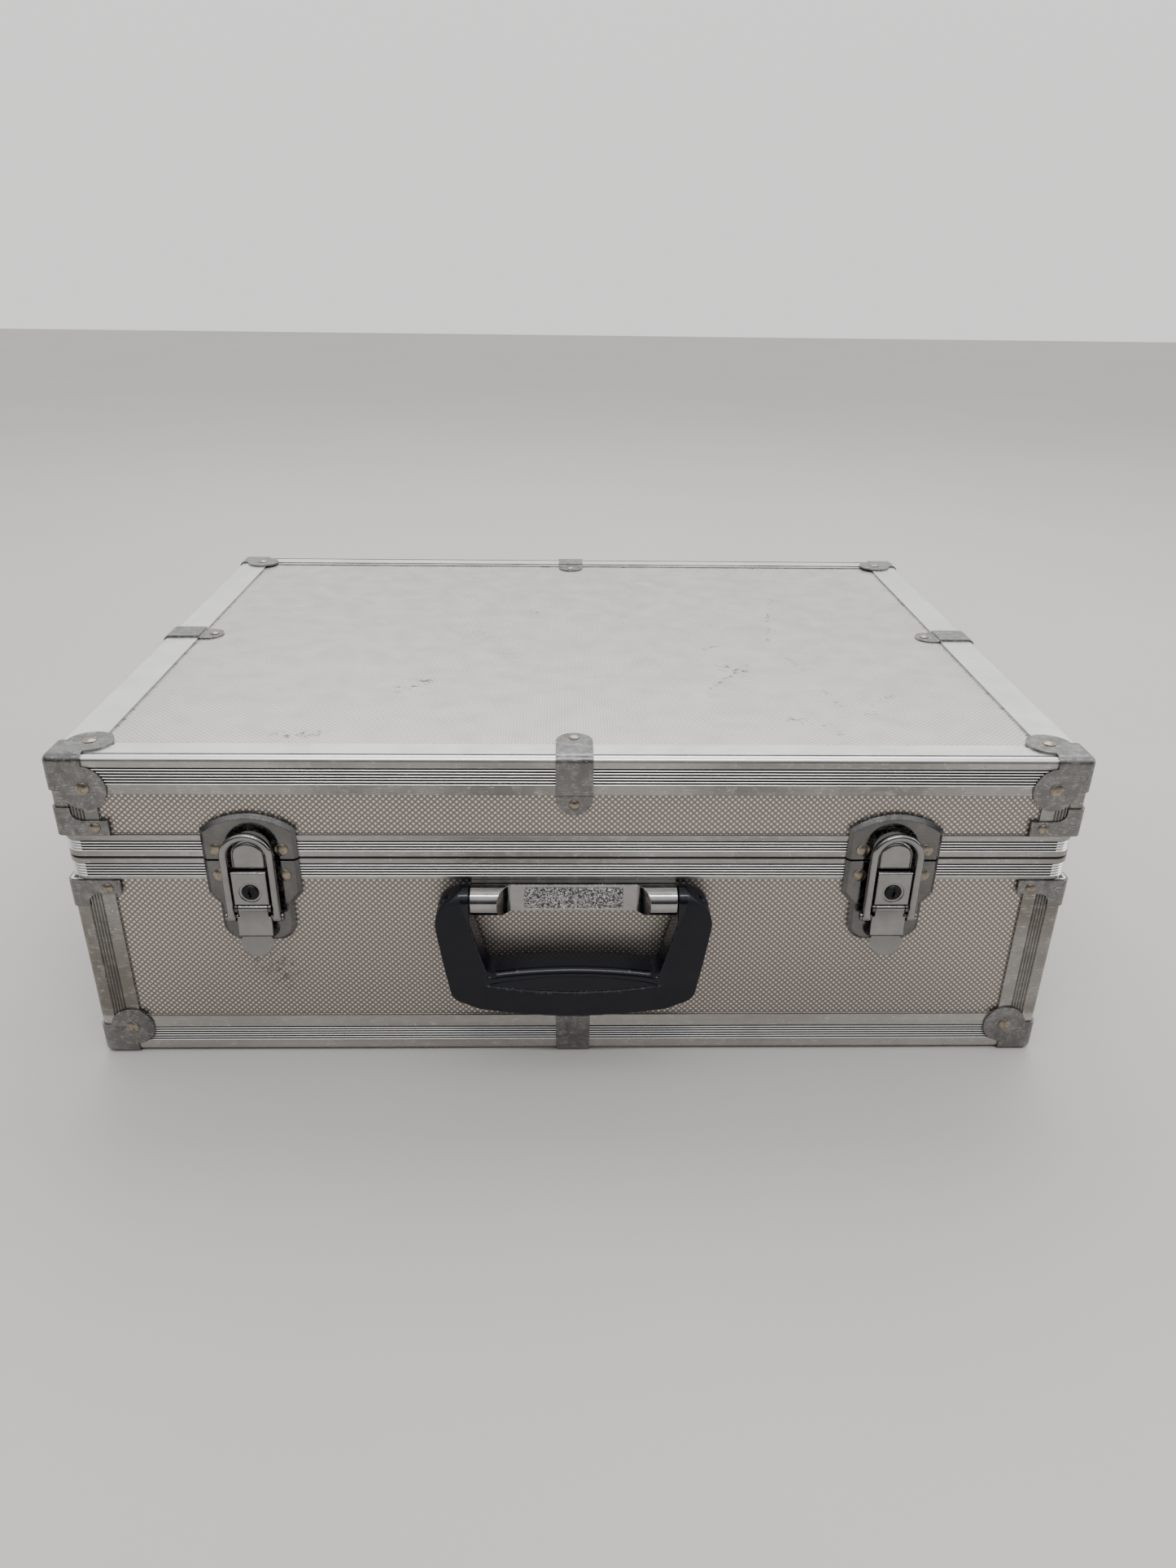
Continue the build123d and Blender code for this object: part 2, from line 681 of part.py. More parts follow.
with BuildPart() as base_rim:
    with BuildSketch(section(FRONT, SPLIT, False)):
        rim_block(0, -BASE_RIM_H, RIM_IN, 0)
        rim_block(TONGUE_OUT, 0, TONGUE_IN, TONGUE_H)
        rim_cut(SKIN_OUT, -BASE_RIM_H, BOARD_IN, -BASE_RIM_H + TAB_DEEP)
        rib_grooves(BASE_RIM_RIBS, down=True)
    sweep(path=rim_path(SPLIT))
    add(base_rivets.part, mode=Mode.SUBTRACT)

with BuildPart() as lid_rim:
    with BuildSketch(section(FRONT, SPLIT, False)):
        rim_block(0, 0, RIM_IN, LID_RIM_H)
        rim_block(-RIM_LIP_OUT, LID_RIM_H - LIP_H, RIM_IN, LID_RIM_H)
        rim_cut(GROOVE_OUT, 0, GROOVE_IN, GROOVE_H)
        rim_cut(SKIN_OUT, LID_RIM_H - TAB_DEEP, BOARD_IN, LID_RIM_H)
        rib_grooves(LID_RIM_RIBS)
    sweep(path=rim_path(SPLIT))
    add(lid_rivets.part, mode=Mode.SUBTRACT)

finish(base_rim.part, "base_rim")
finish(lid_rim.part, "lid_rim")

# ---------------------------------------------------------------- caps, brackets and clips

CORNER = (-CASE_W / 2, CASE_Y - CASE_D / 2)
PRISM_H = PLATE_T + EDGE_R
MIDDLE_Z = Plane.XY.offset(BOTTOM + CASE_H / 2)
X_WAY, Y_WAY, Z_WAY = (1, 0, 0), (0, 1, 0), (0, 0, 1)

with BuildPart() as cap_prisms:
    for x_way, inwards in ((Y_WAY, X_WAY), (Z_WAY, Y_WAY), (X_WAY, Z_WAY)):
        with BuildSketch(Plane(origin=(*CORNER, BOTTOM), x_dir=x_way, z_dir=inwards).offset(-PLATE_T)):
            with Locations((-PLATE_T, -PLATE_T)):
                Rectangle(CAP_SQUARE + PLATE_T, CAP_SQUARE + PLATE_T, align=Align.MIN)
            with Locations((LOBE_AT, LOBE_AT)):
                Circle(LOBE_R)
        extrude(amount=PRISM_H)
    mirror(about=MIDDLE_X)
    mirror(about=MIDDLE_Y)

with BuildPart() as base_corner_caps:
    add(cap_prisms.part)
    add(plate_shell.part, mode=Mode.INTERSECT)
    add(base_rivets.part, mode=Mode.SUBTRACT)

with BuildPart() as lid_corner_caps:
    add(mirror(cap_prisms.part, about=MIDDLE_Z, mode=Mode.PRIVATE))
    add(plate_shell.part, mode=Mode.INTERSECT)
    add(lid_rivets.part, mode=Mode.SUBTRACT)


def corner_brackets(rim_edge, away, rivets):
    """Four L plates that wrap the upright edges beside a rim. away is 1 above the rim and -1 below it."""
    start = rim_edge + away * BRACKET_GAP
    with BuildPart() as brackets:
        for along, inwards in ((X_WAY, Y_WAY), (Y_WAY, X_WAY)):
            normal = Vector(along).cross(Vector(0, 0, away))
            depth = PRISM_H * normal.dot(Vector(inwards))
            origin = Vector(*CORNER, start) - Vector(inwards) * PLATE_T
            with BuildSketch(Plane(origin=origin, x_dir=along, z_dir=normal)):
                with BuildLine():
                    Polyline(
                        (BRACKET_LEG_W, BRACKET_H + NOTCH_R),
                        (BRACKET_LEG_W, BRACKET_LEG_H),
                        (-PLATE_T, BRACKET_LEG_H),
                        (-PLATE_T, 0),
                        (BRACKET_ARM, 0),
                        (BRACKET_ARM, BRACKET_H),
                        (BRACKET_LEG_W + NOTCH_R, BRACKET_H),
                    )
                    CenterArc((BRACKET_LEG_W + NOTCH_R, BRACKET_H + NOTCH_R), NOTCH_R, 180, 90)
                make_face()
            extrude(amount=depth)
        mirror(about=MIDDLE_X)
        mirror(about=MIDDLE_Y)
        add(plate_shell.part, mode=Mode.INTERSECT)
        add(rivets, mode=Mode.SUBTRACT)
    return brackets.part


base_corner_brackets = corner_brackets(BASE_RIM_LOW, -1, base_rivets.part)
lid_corner_brackets = corner_brackets(LID_RIM_HIGH, 1, lid_rivets.part)
finish(base_corner_caps.part, "base_corner_caps")
finish(lid_corner_caps.part, "lid_corner_caps")
finish(base_corner_brackets, "base_corner_brackets")
finish(lid_corner_brackets, "lid_corner_brackets")


def clip_band(face, z, down, leg, flange):
    """The bent band of an edge clip, over a rail."""
    with BuildPart() as band:
        with BuildSketch(section(face, z, down)):
            with Locations((-PLATE_T, -PLATE_T)):
                Rectangle(flange + PLATE_T, leg + PLATE_T, align=Align.MIN)
        extrude(amount=CLIP_W / 2, both=True)
        add(plate_shell.part, mode=Mode.INTERSECT)
    return band.part


def clip_tail(plane, edge, reach, on_flange):
    """The rounded end of a clip, which steps down from a rail's edge onto the skin beside it."""
    outline = [
        (-PLATE_T, edge - CLIP_ROOT),
        (0, edge - CLIP_ROOT),
        (0, edge),
        (SKIN_OUT, edge),
        (SKIN_OUT, reach),
        (-CLIP_STEP, reach),
        (-CLIP_STEP, edge + PLATE_T),
    ]
    if on_flange:
        outline = [(y, x) for x, y in outline]
    away = plane.x_dir if on_flange else plane.y_dir
    face = Plane(origin=plane.origin, x_dir=plane.z_dir, z_dir=plane.z_dir.cross(away))
    with BuildPart() as tail:
        with BuildSketch(plane):
            Polygon(*outline, align=None)
        extrude(amount=CLIP_W / 2, both=True)
        with BuildSketch(face):
            Rectangle(CLIP_W, reach - CLIP_W / 2, align=(Align.CENTER, Align.MIN))
            with Locations((0, reach - CLIP_W / 2)):
                Circle(CLIP_W / 2)
        extrude(amount=2 * SKIN_OUT, both=True, mode=Mode.INTERSECT)
    return tail.part


with BuildPart() as lid_edge_clips:
    for face in UPRIGHT_FACES:
        is_long = face in LONG_FACES
        flange = LONG_FLANGE if is_long else SIDE_FLANGE
        over = CLIP_OVER if is_long else CLIP_OVER_SIDE
        add(clip_band(face, TOP, True, LID_LEG, flange))
        add(clip_tail(section(face, TOP, True), LID_LEG, CLIP_DOWN, False))
        add(clip_tail(section(face, TOP, True), flange, over, True))
    add(lid_rivets.part, mode=Mode.SUBTRACT)

with BuildPart() as base_edge_clips:
    for face in UPRIGHT_FACES:
        flange = LONG_FLANGE if face in LONG_FACES else SIDE_FLANGE
        add(clip_band(face, BOTTOM, False, BASE_LEG, flange))
    add(base_rivets.part, mode=Mode.SUBTRACT)

finish(lid_edge_clips.part, "lid_edge_clips")
finish(base_edge_clips.part, "base_edge_clips")

# ---------------------------------------------------------------- latches


def upper_outline(plane, x, low):
    """The outline of a latch's lid plate, with its arched top."""
    half = LATCH_W / 2
    with BuildSketch(plane) as outline:
        with BuildLine():
            Polyline((x - half, ARCH_END), (x - half, low), (x + half, low), (x + half, ARCH_END))
            ThreePointArc((x + half, ARCH_END), (x, ARCH_TOP), (x - half, ARCH_END))
        make_face()
    return outline.sketch


def lower_outline(plane, x, high):
    """The outline of a latch's base plate, with its shoulders and rounded end."""
    half, waist = LATCH_W / 2, LOWER_W / 2
    with BuildSketch(plane) as outline:
        Polygon(
            (x - half, high),
            (x - half, WAIST_HIGH),
            (x - waist, WAIST_LOW),
            (x - waist, LOWER_END),
            (x + waist, LOWER_END),
            (x + waist, WAIST_LOW),
            (x + half, WAIST_HIGH),
            (x + half, high),
            align=None,
        )
        fillet(outline.vertices().group_by(Axis.Y)[0], radius=LOWER_R)
    return outline.sketch


def upper_plate(x):
    """The lid plate of a latch: a flange, a raised middle with a bevelled edge and a foot on the skin."""
    low = SPLIT + PLATE_GAP
    with BuildPart() as plate:
        extrude(upper_outline(FRONT, x, low), amount=FLANGE_H)
        extrude(
            upper_outline(FRONT.offset(FLANGE_H), x, low - 2 * BEVEL),
            amount=RAISED_H - FLANGE_H,
            taper=BEVEL_ANGLE,
        )
        extrude(upper_outline(FRONT.offset(-SKIN_OUT), x, LID_RIM_HIGH), amount=SKIN_OUT)
        split(bisect_by=Plane.XY.offset(low), keep=Keep.TOP)
        add(lid_rim.part, mode=Mode.SUBTRACT)
        add(lid_rivets.part, mode=Mode.SUBTRACT)
    return plate.part


def lower_plate(x):
    """The base plate of a latch, with the two ears that carry the lever."""
    high = SPLIT - PLATE_GAP
    with BuildPart() as plate:
        extrude(lower_outline(FRONT, x, high), amount=FLANGE_H)
        extrude(
            lower_outline(FRONT.offset(FLANGE_H), x, high + 2 * BEVEL),
            amount=RAISED_H - FLANGE_H,
            taper=BEVEL_ANGLE,
        )
        extrude(lower_outline(FRONT.offset(-SKIN_OUT), x, BASE_RIM_LOW), amount=SKIN_OUT)
        split(bisect_by=Plane.XY.offset(high), keep=Keep.BOTTOM)
        for side in (-1, 1):
            with BuildSketch(side_view(x + side * (EAR_IN + EAR_OUT) / 2)):
                with Locations((front_out(LEVER_OUT), LEVER_Z)):
                    Circle(EAR_R)
                with Locations((front_out(RAISED_H), LEVER_Z)):
                    Rectangle(LEVER_OUT - RAISED_H, 2 * EAR_R, align=(Align.MIN, Align.CENTER))
                with Locations((front_out(LEVER_OUT), LEVER_Z)):
                    Circle(LEVER_PIN_R, mode=Mode.SUBTRACT)
            extrude(amount=(EAR_OUT - EAR_IN) / 2, both=True)
        add(base_rivets.part, mode=Mode.SUBTRACT)
    return plate.part


def lock_box(x):
    """The raised box of a latch, bored for its key cylinder and hollow behind it for the cam."""
    with BuildPart() as box:
        with BuildSketch(FRONT.offset(RAISED_H)):
            with Locations((x, (LOCK_LOW + LOCK_HIGH) / 2)):
                Rectangle(DOME_W, LOCK_HIGH - LOCK_LOW)
        extrude(amount=LOCK_OUT - RAISED_H)
        fillet(box.faces().sort_by(Axis.Y)[0].edges(), radius=LOCK_EDGE_R)
        with BuildSketch(FRONT.offset(RAISED_H)):
            with Locations((x, KEY_Z)):
                Circle(KEY_R + KEY_FIT)
        extrude(amount=LOCK_OUT, mode=Mode.SUBTRACT)
        with BuildSketch(FRONT.offset(LOCK_OUT)):
            with Locations((x, KEY_Z)):
                Circle(KEY_RECESS_R)
        extrude(amount=-KEY_RECESS_DEEP, mode=Mode.SUBTRACT)
        with BuildSketch(FRONT.offset(RAISED_H)):
            with Locations((x, KEY_Z)):
                Circle(CAM_REACH + CAM_SWING_GAP)
        extrude(amount=CAM_ROOM, mode=Mode.SUBTRACT)
    return box.part


def lock_cylinder(x):
    """The key cylinder of a latch, with its keyway and the cam on its back."""
    back = RAISED_H + CAM_GAP
    with BuildPart() as cylinder:
        with BuildSketch(FRONT.offset(back)):
            with Locations((x, KEY_Z)):
                Circle(KEY_R)
        extrude(amount=LOCK_OUT + KEY_PROUD - back)
        chamfer(cylinder.faces().sort_by(Axis.Y)[0].edges(), length=KEY_EDGE)
        with BuildSketch(FRONT.offset(back)):
            with Locations((x, KEY_Z)):
                Rectangle(CAM_W, CAM_REACH, align=(Align.CENTER, Align.MIN))
        extrude(amount=CAM_ROOM - 2 * CAM_GAP)
        with BuildSketch(FRONT.offset(LOCK_OUT + KEY_PROUD)):
            with Locations((x, KEY_Z)):
                Rectangle(KEYWAY_W, KEYWAY_L)
                Circle(KEYWAY_W)
            with Locations((x, KEY_Z - KEY_R)):
                Circle(KEY_MARK_R)
        extrude(amount=-KEYWAY_DEEP, mode=Mode.SUBTRACT)
    return cylinder.part


def keeper_dome(x):
    """The raised keeper that the bail closes round. It hangs past the split, clear of the base plate."""
    radius = DOME_W / 2
    with BuildPart() as dome:
        with BuildSketch(FRONT.offset(RAISED_H)):
            with BuildLine():
                Polyline(
                    (x - radius, DOME_TOP - radius),
                    (x - radius, DOME_LOW),
                    (x + radius, DOME_LOW),
                    (x + radius, DOME_TOP - radius),
                )
                ThreePointArc((x - radius, DOME_TOP - radius), (x, DOME_TOP), (x + radius, DOME_TOP - radius))
            make_face()
        extrude(amount=DOME_OUT - RAISED_H)
        face_edges = dome.faces().sort_by(Axis.Y)[0].edges().sort_by(Axis.Z)
        fillet(face_edges[1:], radius=DOME_EDGE_R)
        with BuildSketch(FRONT.offset(RAISED_H)):
            with Locations((x, DOME_LOW)):
                Rectangle(DOME_W, SPLIT + PLATE_GAP - DOME_LOW, align=(Align.CENTER, Align.MIN))
        extrude(amount=DOME_CLEAR, mode=Mode.SUBTRACT)
    return dome.part


def lever(x):
    """The latch lever: a rolled top edge on its pin, a hollowed blade, a finger lip and the bail's pins."""
    bow_z = (LEVER_Z + LIP_TOP) / 2
    blade_h = LEVER_Z - LIP_END - LEVER_W / 2
    bail_pins = (front_out(BAIL_PIN_OUT), LEVER_Z - BAIL_DROP)
    with BuildPart() as blade:
        with BuildSketch(side_view(x)):
            with BuildLine():
                ThreePointArc(
                    (front_out(BLADE_TOP_OUT), LEVER_Z),
                    (front_out(BLADE_BOW_OUT), bow_z),
                    (front_out(BLADE_TOP_OUT), LIP_TOP + LIP_STEP),
                )
                Polyline(
                    (front_out(BLADE_TOP_OUT), LIP_TOP + LIP_STEP),
                    (front_out(BLADE_BOW_OUT), LIP_TOP),
                    (front_out(LIP_OUT + LEVER_T), LIP_END),
                    (front_out(LIP_OUT), LIP_END),
                    (front_out(BLADE_BOW_OUT - LEVER_T), LIP_TOP),
                    (front_out(BLADE_TOP_OUT - LEVER_T), LIP_TOP + LIP_STEP),
                )
                ThreePointArc(
                    (front_out(BLADE_TOP_OUT - LEVER_T), LIP_TOP + LIP_STEP),
                    (front_out(BLADE_BOW_OUT - LEVER_T), bow_z),
                    (front_out(BLADE_TOP_OUT - LEVER_T), LEVER_Z),
                )
                Line((front_out(BLADE_TOP_OUT - LEVER_T), LEVER_Z), (front_out(BLADE_TOP_OUT), LEVER_Z))
            make_face()
        extrude(amount=LEVER_W / 2, both=True)
        with BuildSketch(FRONT):
            with Locations((x, LIP_END + LEVER_W / 2)):
                Circle(LEVER_W / 2)
                Rectangle(LEVER_W, blade_h - BLADE_NARROW, align=(Align.CENTER, Align.MIN))
                Rectangle(LEVER_TOP_W, blade_h, align=(Align.CENTER, Align.MIN))
            with Locations((x - LEVER_W / 2, LIP_TOP), (x + LEVER_W / 2, LIP_TOP)):
                Circle(LIP_NOTCH_R, mode=Mode.SUBTRACT)
        extrude(amount=2 * LOCK_OUT, mode=Mode.INTERSECT)
        with BuildSketch(side_view(x)):
            with Locations((front_out(LEVER_OUT), LEVER_Z)):
                Circle(LEVER_ROLL_R)
        extrude(amount=LEVER_TOP_W / 2, both=True)
        with BuildSketch(side_view(x)):
            with Locations((front_out(LEVER_OUT), LEVER_Z)):
                Circle(LEVER_PIN_R + PIN_FIT)
        extrude(amount=LEVER_W, both=True, mode=Mode.SUBTRACT)
        with BuildSketch(side_view(x)):
            with Locations(bail_pins):
                Circle(BAIL_PIN_R)
        extrude(amount=BAIL_IN + BAIL_STRAP + BAIL_HEAD_T, both=True)
        for side in (-1, 1):
            head_at = x + side * (BAIL_IN + BAIL_STRAP + BAIL_HEAD_GAP + BAIL_HEAD_T / 2)
            with BuildSketch(side_view(head_at)):
                with Locations(bail_pins):
                    Circle(BAIL_HEAD_R)
            extrude(amount=BAIL_HEAD_T / 2, both=True)
    return blade.part


def bail(x):
    """The bail: a strap bent into an arch, with an eye at the end of each leg."""
    outer = BAIL_IN + BAIL_STRAP
    pivot = LEVER_Z - BAIL_DROP
    arch = BAIL_TOP - outer
    with BuildPart() as loop:
        with BuildSketch(FRONT.offset(BAIL_BACK)):
            with Locations((x, arch)):
                Circle(outer)
            with Locations((x, pivot)):
                Rectangle(2 * outer, arch - pivot, align=(Align.CENTER, Align.MIN))
            with Locations((x, arch)):
                Circle(BAIL_IN, mode=Mode.SUBTRACT)
            with Locations((x, pivot)):
                Rectangle(2 * BAIL_IN, arch - pivot, align=(Align.CENTER, Align.MIN), mode=Mode.SUBTRACT)
        extrude(amount=BAIL_T)
        front_edges = loop.faces().sort_by(Axis.Y)[0].edges()
        fillet([e for e in front_edges if e.length > 2 * BAIL_STRAP], radius=BAIL_EDGE_R)
        for side in (-1, 1):
            with BuildSketch(side_view(x + side * (BAIL_IN + BAIL_STRAP / 2))):
                with Locations((front_out(BAIL_PIN_OUT), pivot)):
                    Circle(BAIL_EYE_R)
            extrude(amount=BAIL_STRAP / 2, both=True)
        with BuildSketch(side_view(x)):
            with Locations((front_out(BAIL_PIN_OUT), pivot)):
                Circle(BAIL_PIN_R + PIN_FIT)
        extrude(amount=2 * outer, both=True, mode=Mode.SUBTRACT)
    return loop.part


with BuildPart() as latch_lever_pins:
    for side in (-1, 1):
        with BuildSketch(side_view(side * LATCH_X)):
            with Locations((front_out(LEVER_OUT), LEVER_Z)):
                Circle(LEVER_PIN_R)
        extrude(amount=EAR_OUT, both=True)

with BuildPart() as keeper_domes:
    for side in (-1, 1):
        add(keeper_dome(side * LATCH_X))

finish(latch_lever_pins.part, "latch_lever_pins")
finish(keeper_domes.part, "keeper_domes")
for hand, side in (("left", -1), ("right", 1)):
    finish(upper_plate(side * LATCH_X), f"latch_upper_plate_{hand}")
    finish(lower_plate(side * LATCH_X), f"latch_lower_plate_{hand}")
    finish(lock_box(side * LATCH_X), f"lock_box_{hand}")
    finish(lock_cylinder(side * LATCH_X), f"lock_cylinder_{hand}")
    finish(lever(side * LATCH_X), f"latch_lever_{hand}")
    finish(bail(side * LATCH_X), f"latch_bail_{hand}")

# ---------------------------------------------------------------- handle

PIVOT = (front_out(HANDLE_OUT), HANDLE_Z)


def plan_point(x, out):
    """A point in the plan view, out from the front face."""
    return (x, -(CASE_D / 2 + out))


with BuildPart() as handle_pins:
    for side in (-1, 1):
        with BuildSketch(side_view(side * HANDLE_PIN_IN)):
            with Locations(PIVOT):
                Circle(HANDLE_PIN_R)
        extrude(amount=-side * (HANDLE_PIN_OUT - HANDLE_PIN_IN))

with BuildPart() as handle_inlay:
    with BuildSketch(FRONT.offset(BAR_FACE - INLAY_DEEP)):
        with Locations((0, HANDLE_Z)):
            RectangleRounded(INLAY_W, INLAY_H, INLAY_R)
    extrude(amount=INLAY_DEEP)

with BuildPart() as handle_bar:
    with BuildSketch(side_view(0)):
        with Locations((front_out(-SKIN_OUT), HANDLE_Z)):
            Rectangle(HANDLE_OUT + SKIN_OUT, 2 * BARREL_R, align=(Align.MIN, Align.CENTER))
        with Locations(PIVOT):
            Circle(BARREL_R)
    extrude(amount=BAR_HALF, both=True)
    with BuildSketch(level(HANDLE_Z)):
        with BuildLine():
            beyond = HANDLE_OUT + BARREL_R
            ThreePointArc(
                plan_point(-SCALLOP_IN, BAR_FACE),
                plan_point(-SCALLOP_MIDDLE[0], SCALLOP_MIDDLE[1]),
                plan_point(-SCALLOP_OUT, beyond),
            )
            Line(plan_point(-SCALLOP_OUT, beyond), plan_point(SCALLOP_OUT, beyond))
            ThreePointArc(
                plan_point(SCALLOP_OUT, beyond),
                plan_point(*SCALLOP_MIDDLE),
                plan_point(SCALLOP_IN, BAR_FACE),
            )
            Line(plan_point(SCALLOP_IN, BAR_FACE), plan_point(-SCALLOP_IN, BAR_FACE))
        make_face()
    extrude(amount=2 * BARREL_R, both=True, mode=Mode.SUBTRACT)
    add(handle_inlay.part, mode=Mode.SUBTRACT)
    add(handle_pins.part, mode=Mode.SUBTRACT)
    add(handle_screws.part, mode=Mode.SUBTRACT)

right_corners = [(x, z) for x, z, radius in GRIP_CORNERS]
left_corners = [(-x, z) for x, z in right_corners]

with BuildPart() as handle_grip:
    with BuildSketch(FRONT) as grip_face:
        with BuildLine():
            ThreePointArc(left_corners[0], (0, GRIP_LOW), right_corners[0])
            Polyline(*right_corners)
            ThreePointArc(right_corners[-1], (0, GRIP_INNER + GRIP_BOW), left_corners[-1])
            Polyline(*left_corners)
        make_face()
        for x, z, radius in GRIP_CORNERS:
            if radius:
                at_corner = [v for v in grip_face.vertices() if abs(abs(v.X) - x) + abs(v.Y - z) < GRIP_GAP]
                fillet(at_corner, radius=radius)
    extrude(amount=CASE_H, both=True)
    with BuildSketch(side_view(0)):
        with Locations(PIVOT):
            Circle(GRIP_END_R)
        Polygon(
            (front_out(HANDLE_OUT - GRIP_END_R), HANDLE_Z),
            (front_out(GRIP_BACK), GRIP_BACK_Z),
            (front_out(GRIP_BACK), 0),
            (front_out(GRIP_FRONT), 0),
            (front_out(GRIP_FRONT), GRIP_FRONT_Z),
            (front_out(HANDLE_OUT + GRIP_END_R), HANDLE_Z),
            align=None,
        )
    extrude(amount=CASE_W, both=True, mode=Mode.INTERSECT)
    with BuildSketch(FRONT.offset(GRIP_FRONT)):
        with BuildLine():
            ThreePointArc((-SCOOP_HALF, SCOOP_END_Z), (0, SCOOP_TOP), (SCOOP_HALF, SCOOP_END_Z))
            ThreePointArc((SCOOP_HALF, SCOOP_END_Z), (0, SCOOP_LOW), (-SCOOP_HALF, SCOOP_END_Z))
        make_face()
    extrude(amount=-SCOOP_DEEP, mode=Mode.SUBTRACT)
    with BuildSketch(side_view(0)):
        with Locations(PIVOT):
            Circle(HANDLE_PIN_R + PIN_FIT)
    extrude(amount=CASE_W, both=True, mode=Mode.SUBTRACT)

finish(handle_pins.part, "handle_pins")
finish(handle_inlay.part, "handle_inlay")
finish(handle_bar.part, "handle_bar")
finish(handle_grip.part, "handle_grip")

# ---------------------------------------------------------------- rear hinges

HINGE_AXIS = (rear_out(HINGE_OUT), SPLIT)
KNUCKLE_L = (HINGE_W - 2 * KNUCKLE_GAP) / 3


def hinge_leaf(x, way, knuckles, rim, rivets):
    """A leaf with its knuckles at these places along X. way is 1 for the lid and -1 for the base."""
    rim_edge = LID_RIM_HIGH if way > 0 else BASE_RIM_LOW
    align = (Align.CENTER, Align.MIN if way > 0 else Align.MAX)
    with BuildPart() as leaf:
        with BuildSketch(REAR):
            with Locations((-x, SPLIT + way * LEAF_CLEAR)):
                Rectangle(HINGE_W, LEAF_H - LEAF_CLEAR, align=align)
        extrude(amount=LEAF_T)
        with BuildSketch(REAR.offset(-SKIN_OUT)):
            with Locations((-x, rim_edge)):
                Rectangle(HINGE_W, LEAF_H - abs(rim_edge - SPLIT), align=align)
        extrude(amount=SKIN_OUT)
        for place in knuckles:
            with BuildSketch(side_view(x + place)):
                with Locations((rear_out(0), SPLIT + way * KNUCKLE_GAP)):
                    Rectangle(KNUCKLE_WEB, LEAF_CLEAR, align=(Align.MAX, align[1]))
                with Locations(HINGE_AXIS):
                    Circle(KNUCKLE_R)
                    Circle(HINGE_PIN_R + PIN_FIT, mode=Mode.SUBTRACT)
            extrude(amount=KNUCKLE_L / 2, both=True)
        add(rim, mode=Mode.SUBTRACT)
        add(rivets, mode=Mode.SUBTRACT)
    return leaf.part


with BuildPart() as hinge_base_leaves:
    for side in (-1, 1):
        outer_knuckles = (-KNUCKLE_L - KNUCKLE_GAP, KNUCKLE_L + KNUCKLE_GAP)
        add(hinge_leaf(side * HINGE_X, -1, outer_knuckles, base_rim.part, base_rivets.part))

with BuildPart() as hinge_lid_leaves:
    for side in (-1, 1):
        add(hinge_leaf(side * HINGE_X, 1, (0,), lid_rim.part, lid_rivets.part))

with BuildPart() as hinge_pins:
    for side in (-1, 1):
        with BuildSketch(side_view(side * HINGE_X)):
            with Locations(HINGE_AXIS):
                Circle(HINGE_PIN_R)
        extrude(amount=HINGE_W / 2, both=True)

finish(hinge_base_leaves.part, "hinge_base_leaves")
finish(hinge_lid_leaves.part, "hinge_lid_leaves")
finish(hinge_pins.part, "hinge_pins")

# ---------------------------------------------------------------- lid stays

STUD_Y = rear_out(HINGE_OUT) + STAY_R * cos(radians(STAY_HALF_ANGLE))
STUD_RISE = STAY_R * sin(radians(STAY_HALF_ANGLE))
LID_STUD = (STUD_Y, SPLIT + STUD_RISE)
BASE_STUD = (STUD_Y, SPLIT - STUD_RISE)
STUD_REACH_OPEN = 2 * STAY_R * sin(radians(STAY_HALF_ANGLE + LID_OPEN / 2))
SLOT_START = 2 * STUD_RISE - STAY_PLAY
SLOT_END = STUD_REACH_OPEN + STAY_PLAY
STUD_SEAT = CASE_W / 2 - RIM_IN


def stay_studs(spot):
    """Two shouldered studs, one on each side wall, with their heads towards the middle."""
    outer = STAY_OUTER + STUD_HEAD_GAP
    inner = STAY_OUTER - STAY_T - STUD_HEAD_GAP
    steps = (
        (STUD_SEAT, outer, STUD_SHOULDER_R),
        (outer, inner, STUD_R),
        (inner, inner - STUD_HEAD_T, STUD_HEAD_R),
    )
    with BuildPart() as studs:
        for side in (-1, 1):
            for start, end, radius in steps:
                with BuildSketch(side_view(side * start)):
                    with Locations(spot):
                        Circle(radius)
                extrude(amount=side * (start - end))
    return studs.part


def stay_arm(side):
    """A slotted arm that hangs from the lid's stud and rides on the base's stud."""
    with BuildPart() as arm:
        with BuildSketch(side_view(side * STAY_OUTER)):
            with Locations(LID_STUD):
                with Locations((0, -SLOT_END / 2)):
                    SlotCenterToCenter(SLOT_END, 2 * STAY_HALF_W, rotation=90)
                with Locations((0, -(SLOT_START + SLOT_END) / 2)):
                    SlotCenterToCenter(SLOT_END - SLOT_START, 2 * SLOT_HALF, rotation=90, mode=Mode.SUBTRACT)
                Circle(STUD_R + PIN_FIT, mode=Mode.SUBTRACT)
        extrude(amount=side * STAY_T)
    return arm.part


finish(stay_studs(LID_STUD), "stay_lid_studs")
finish(stay_studs(BASE_STUD), "stay_base_studs")
finish(stay_arm(-1), "stay_arm_left")
finish(stay_arm(1), "stay_arm_right")

# ---------------------------------------------------------------- liners, trays and foam

TRAY_FLOOR = FLOOR_TOP + LINER_T
CHANNEL_FIRST = WELL_W / 2 + CHANNEL_FROM_WELL


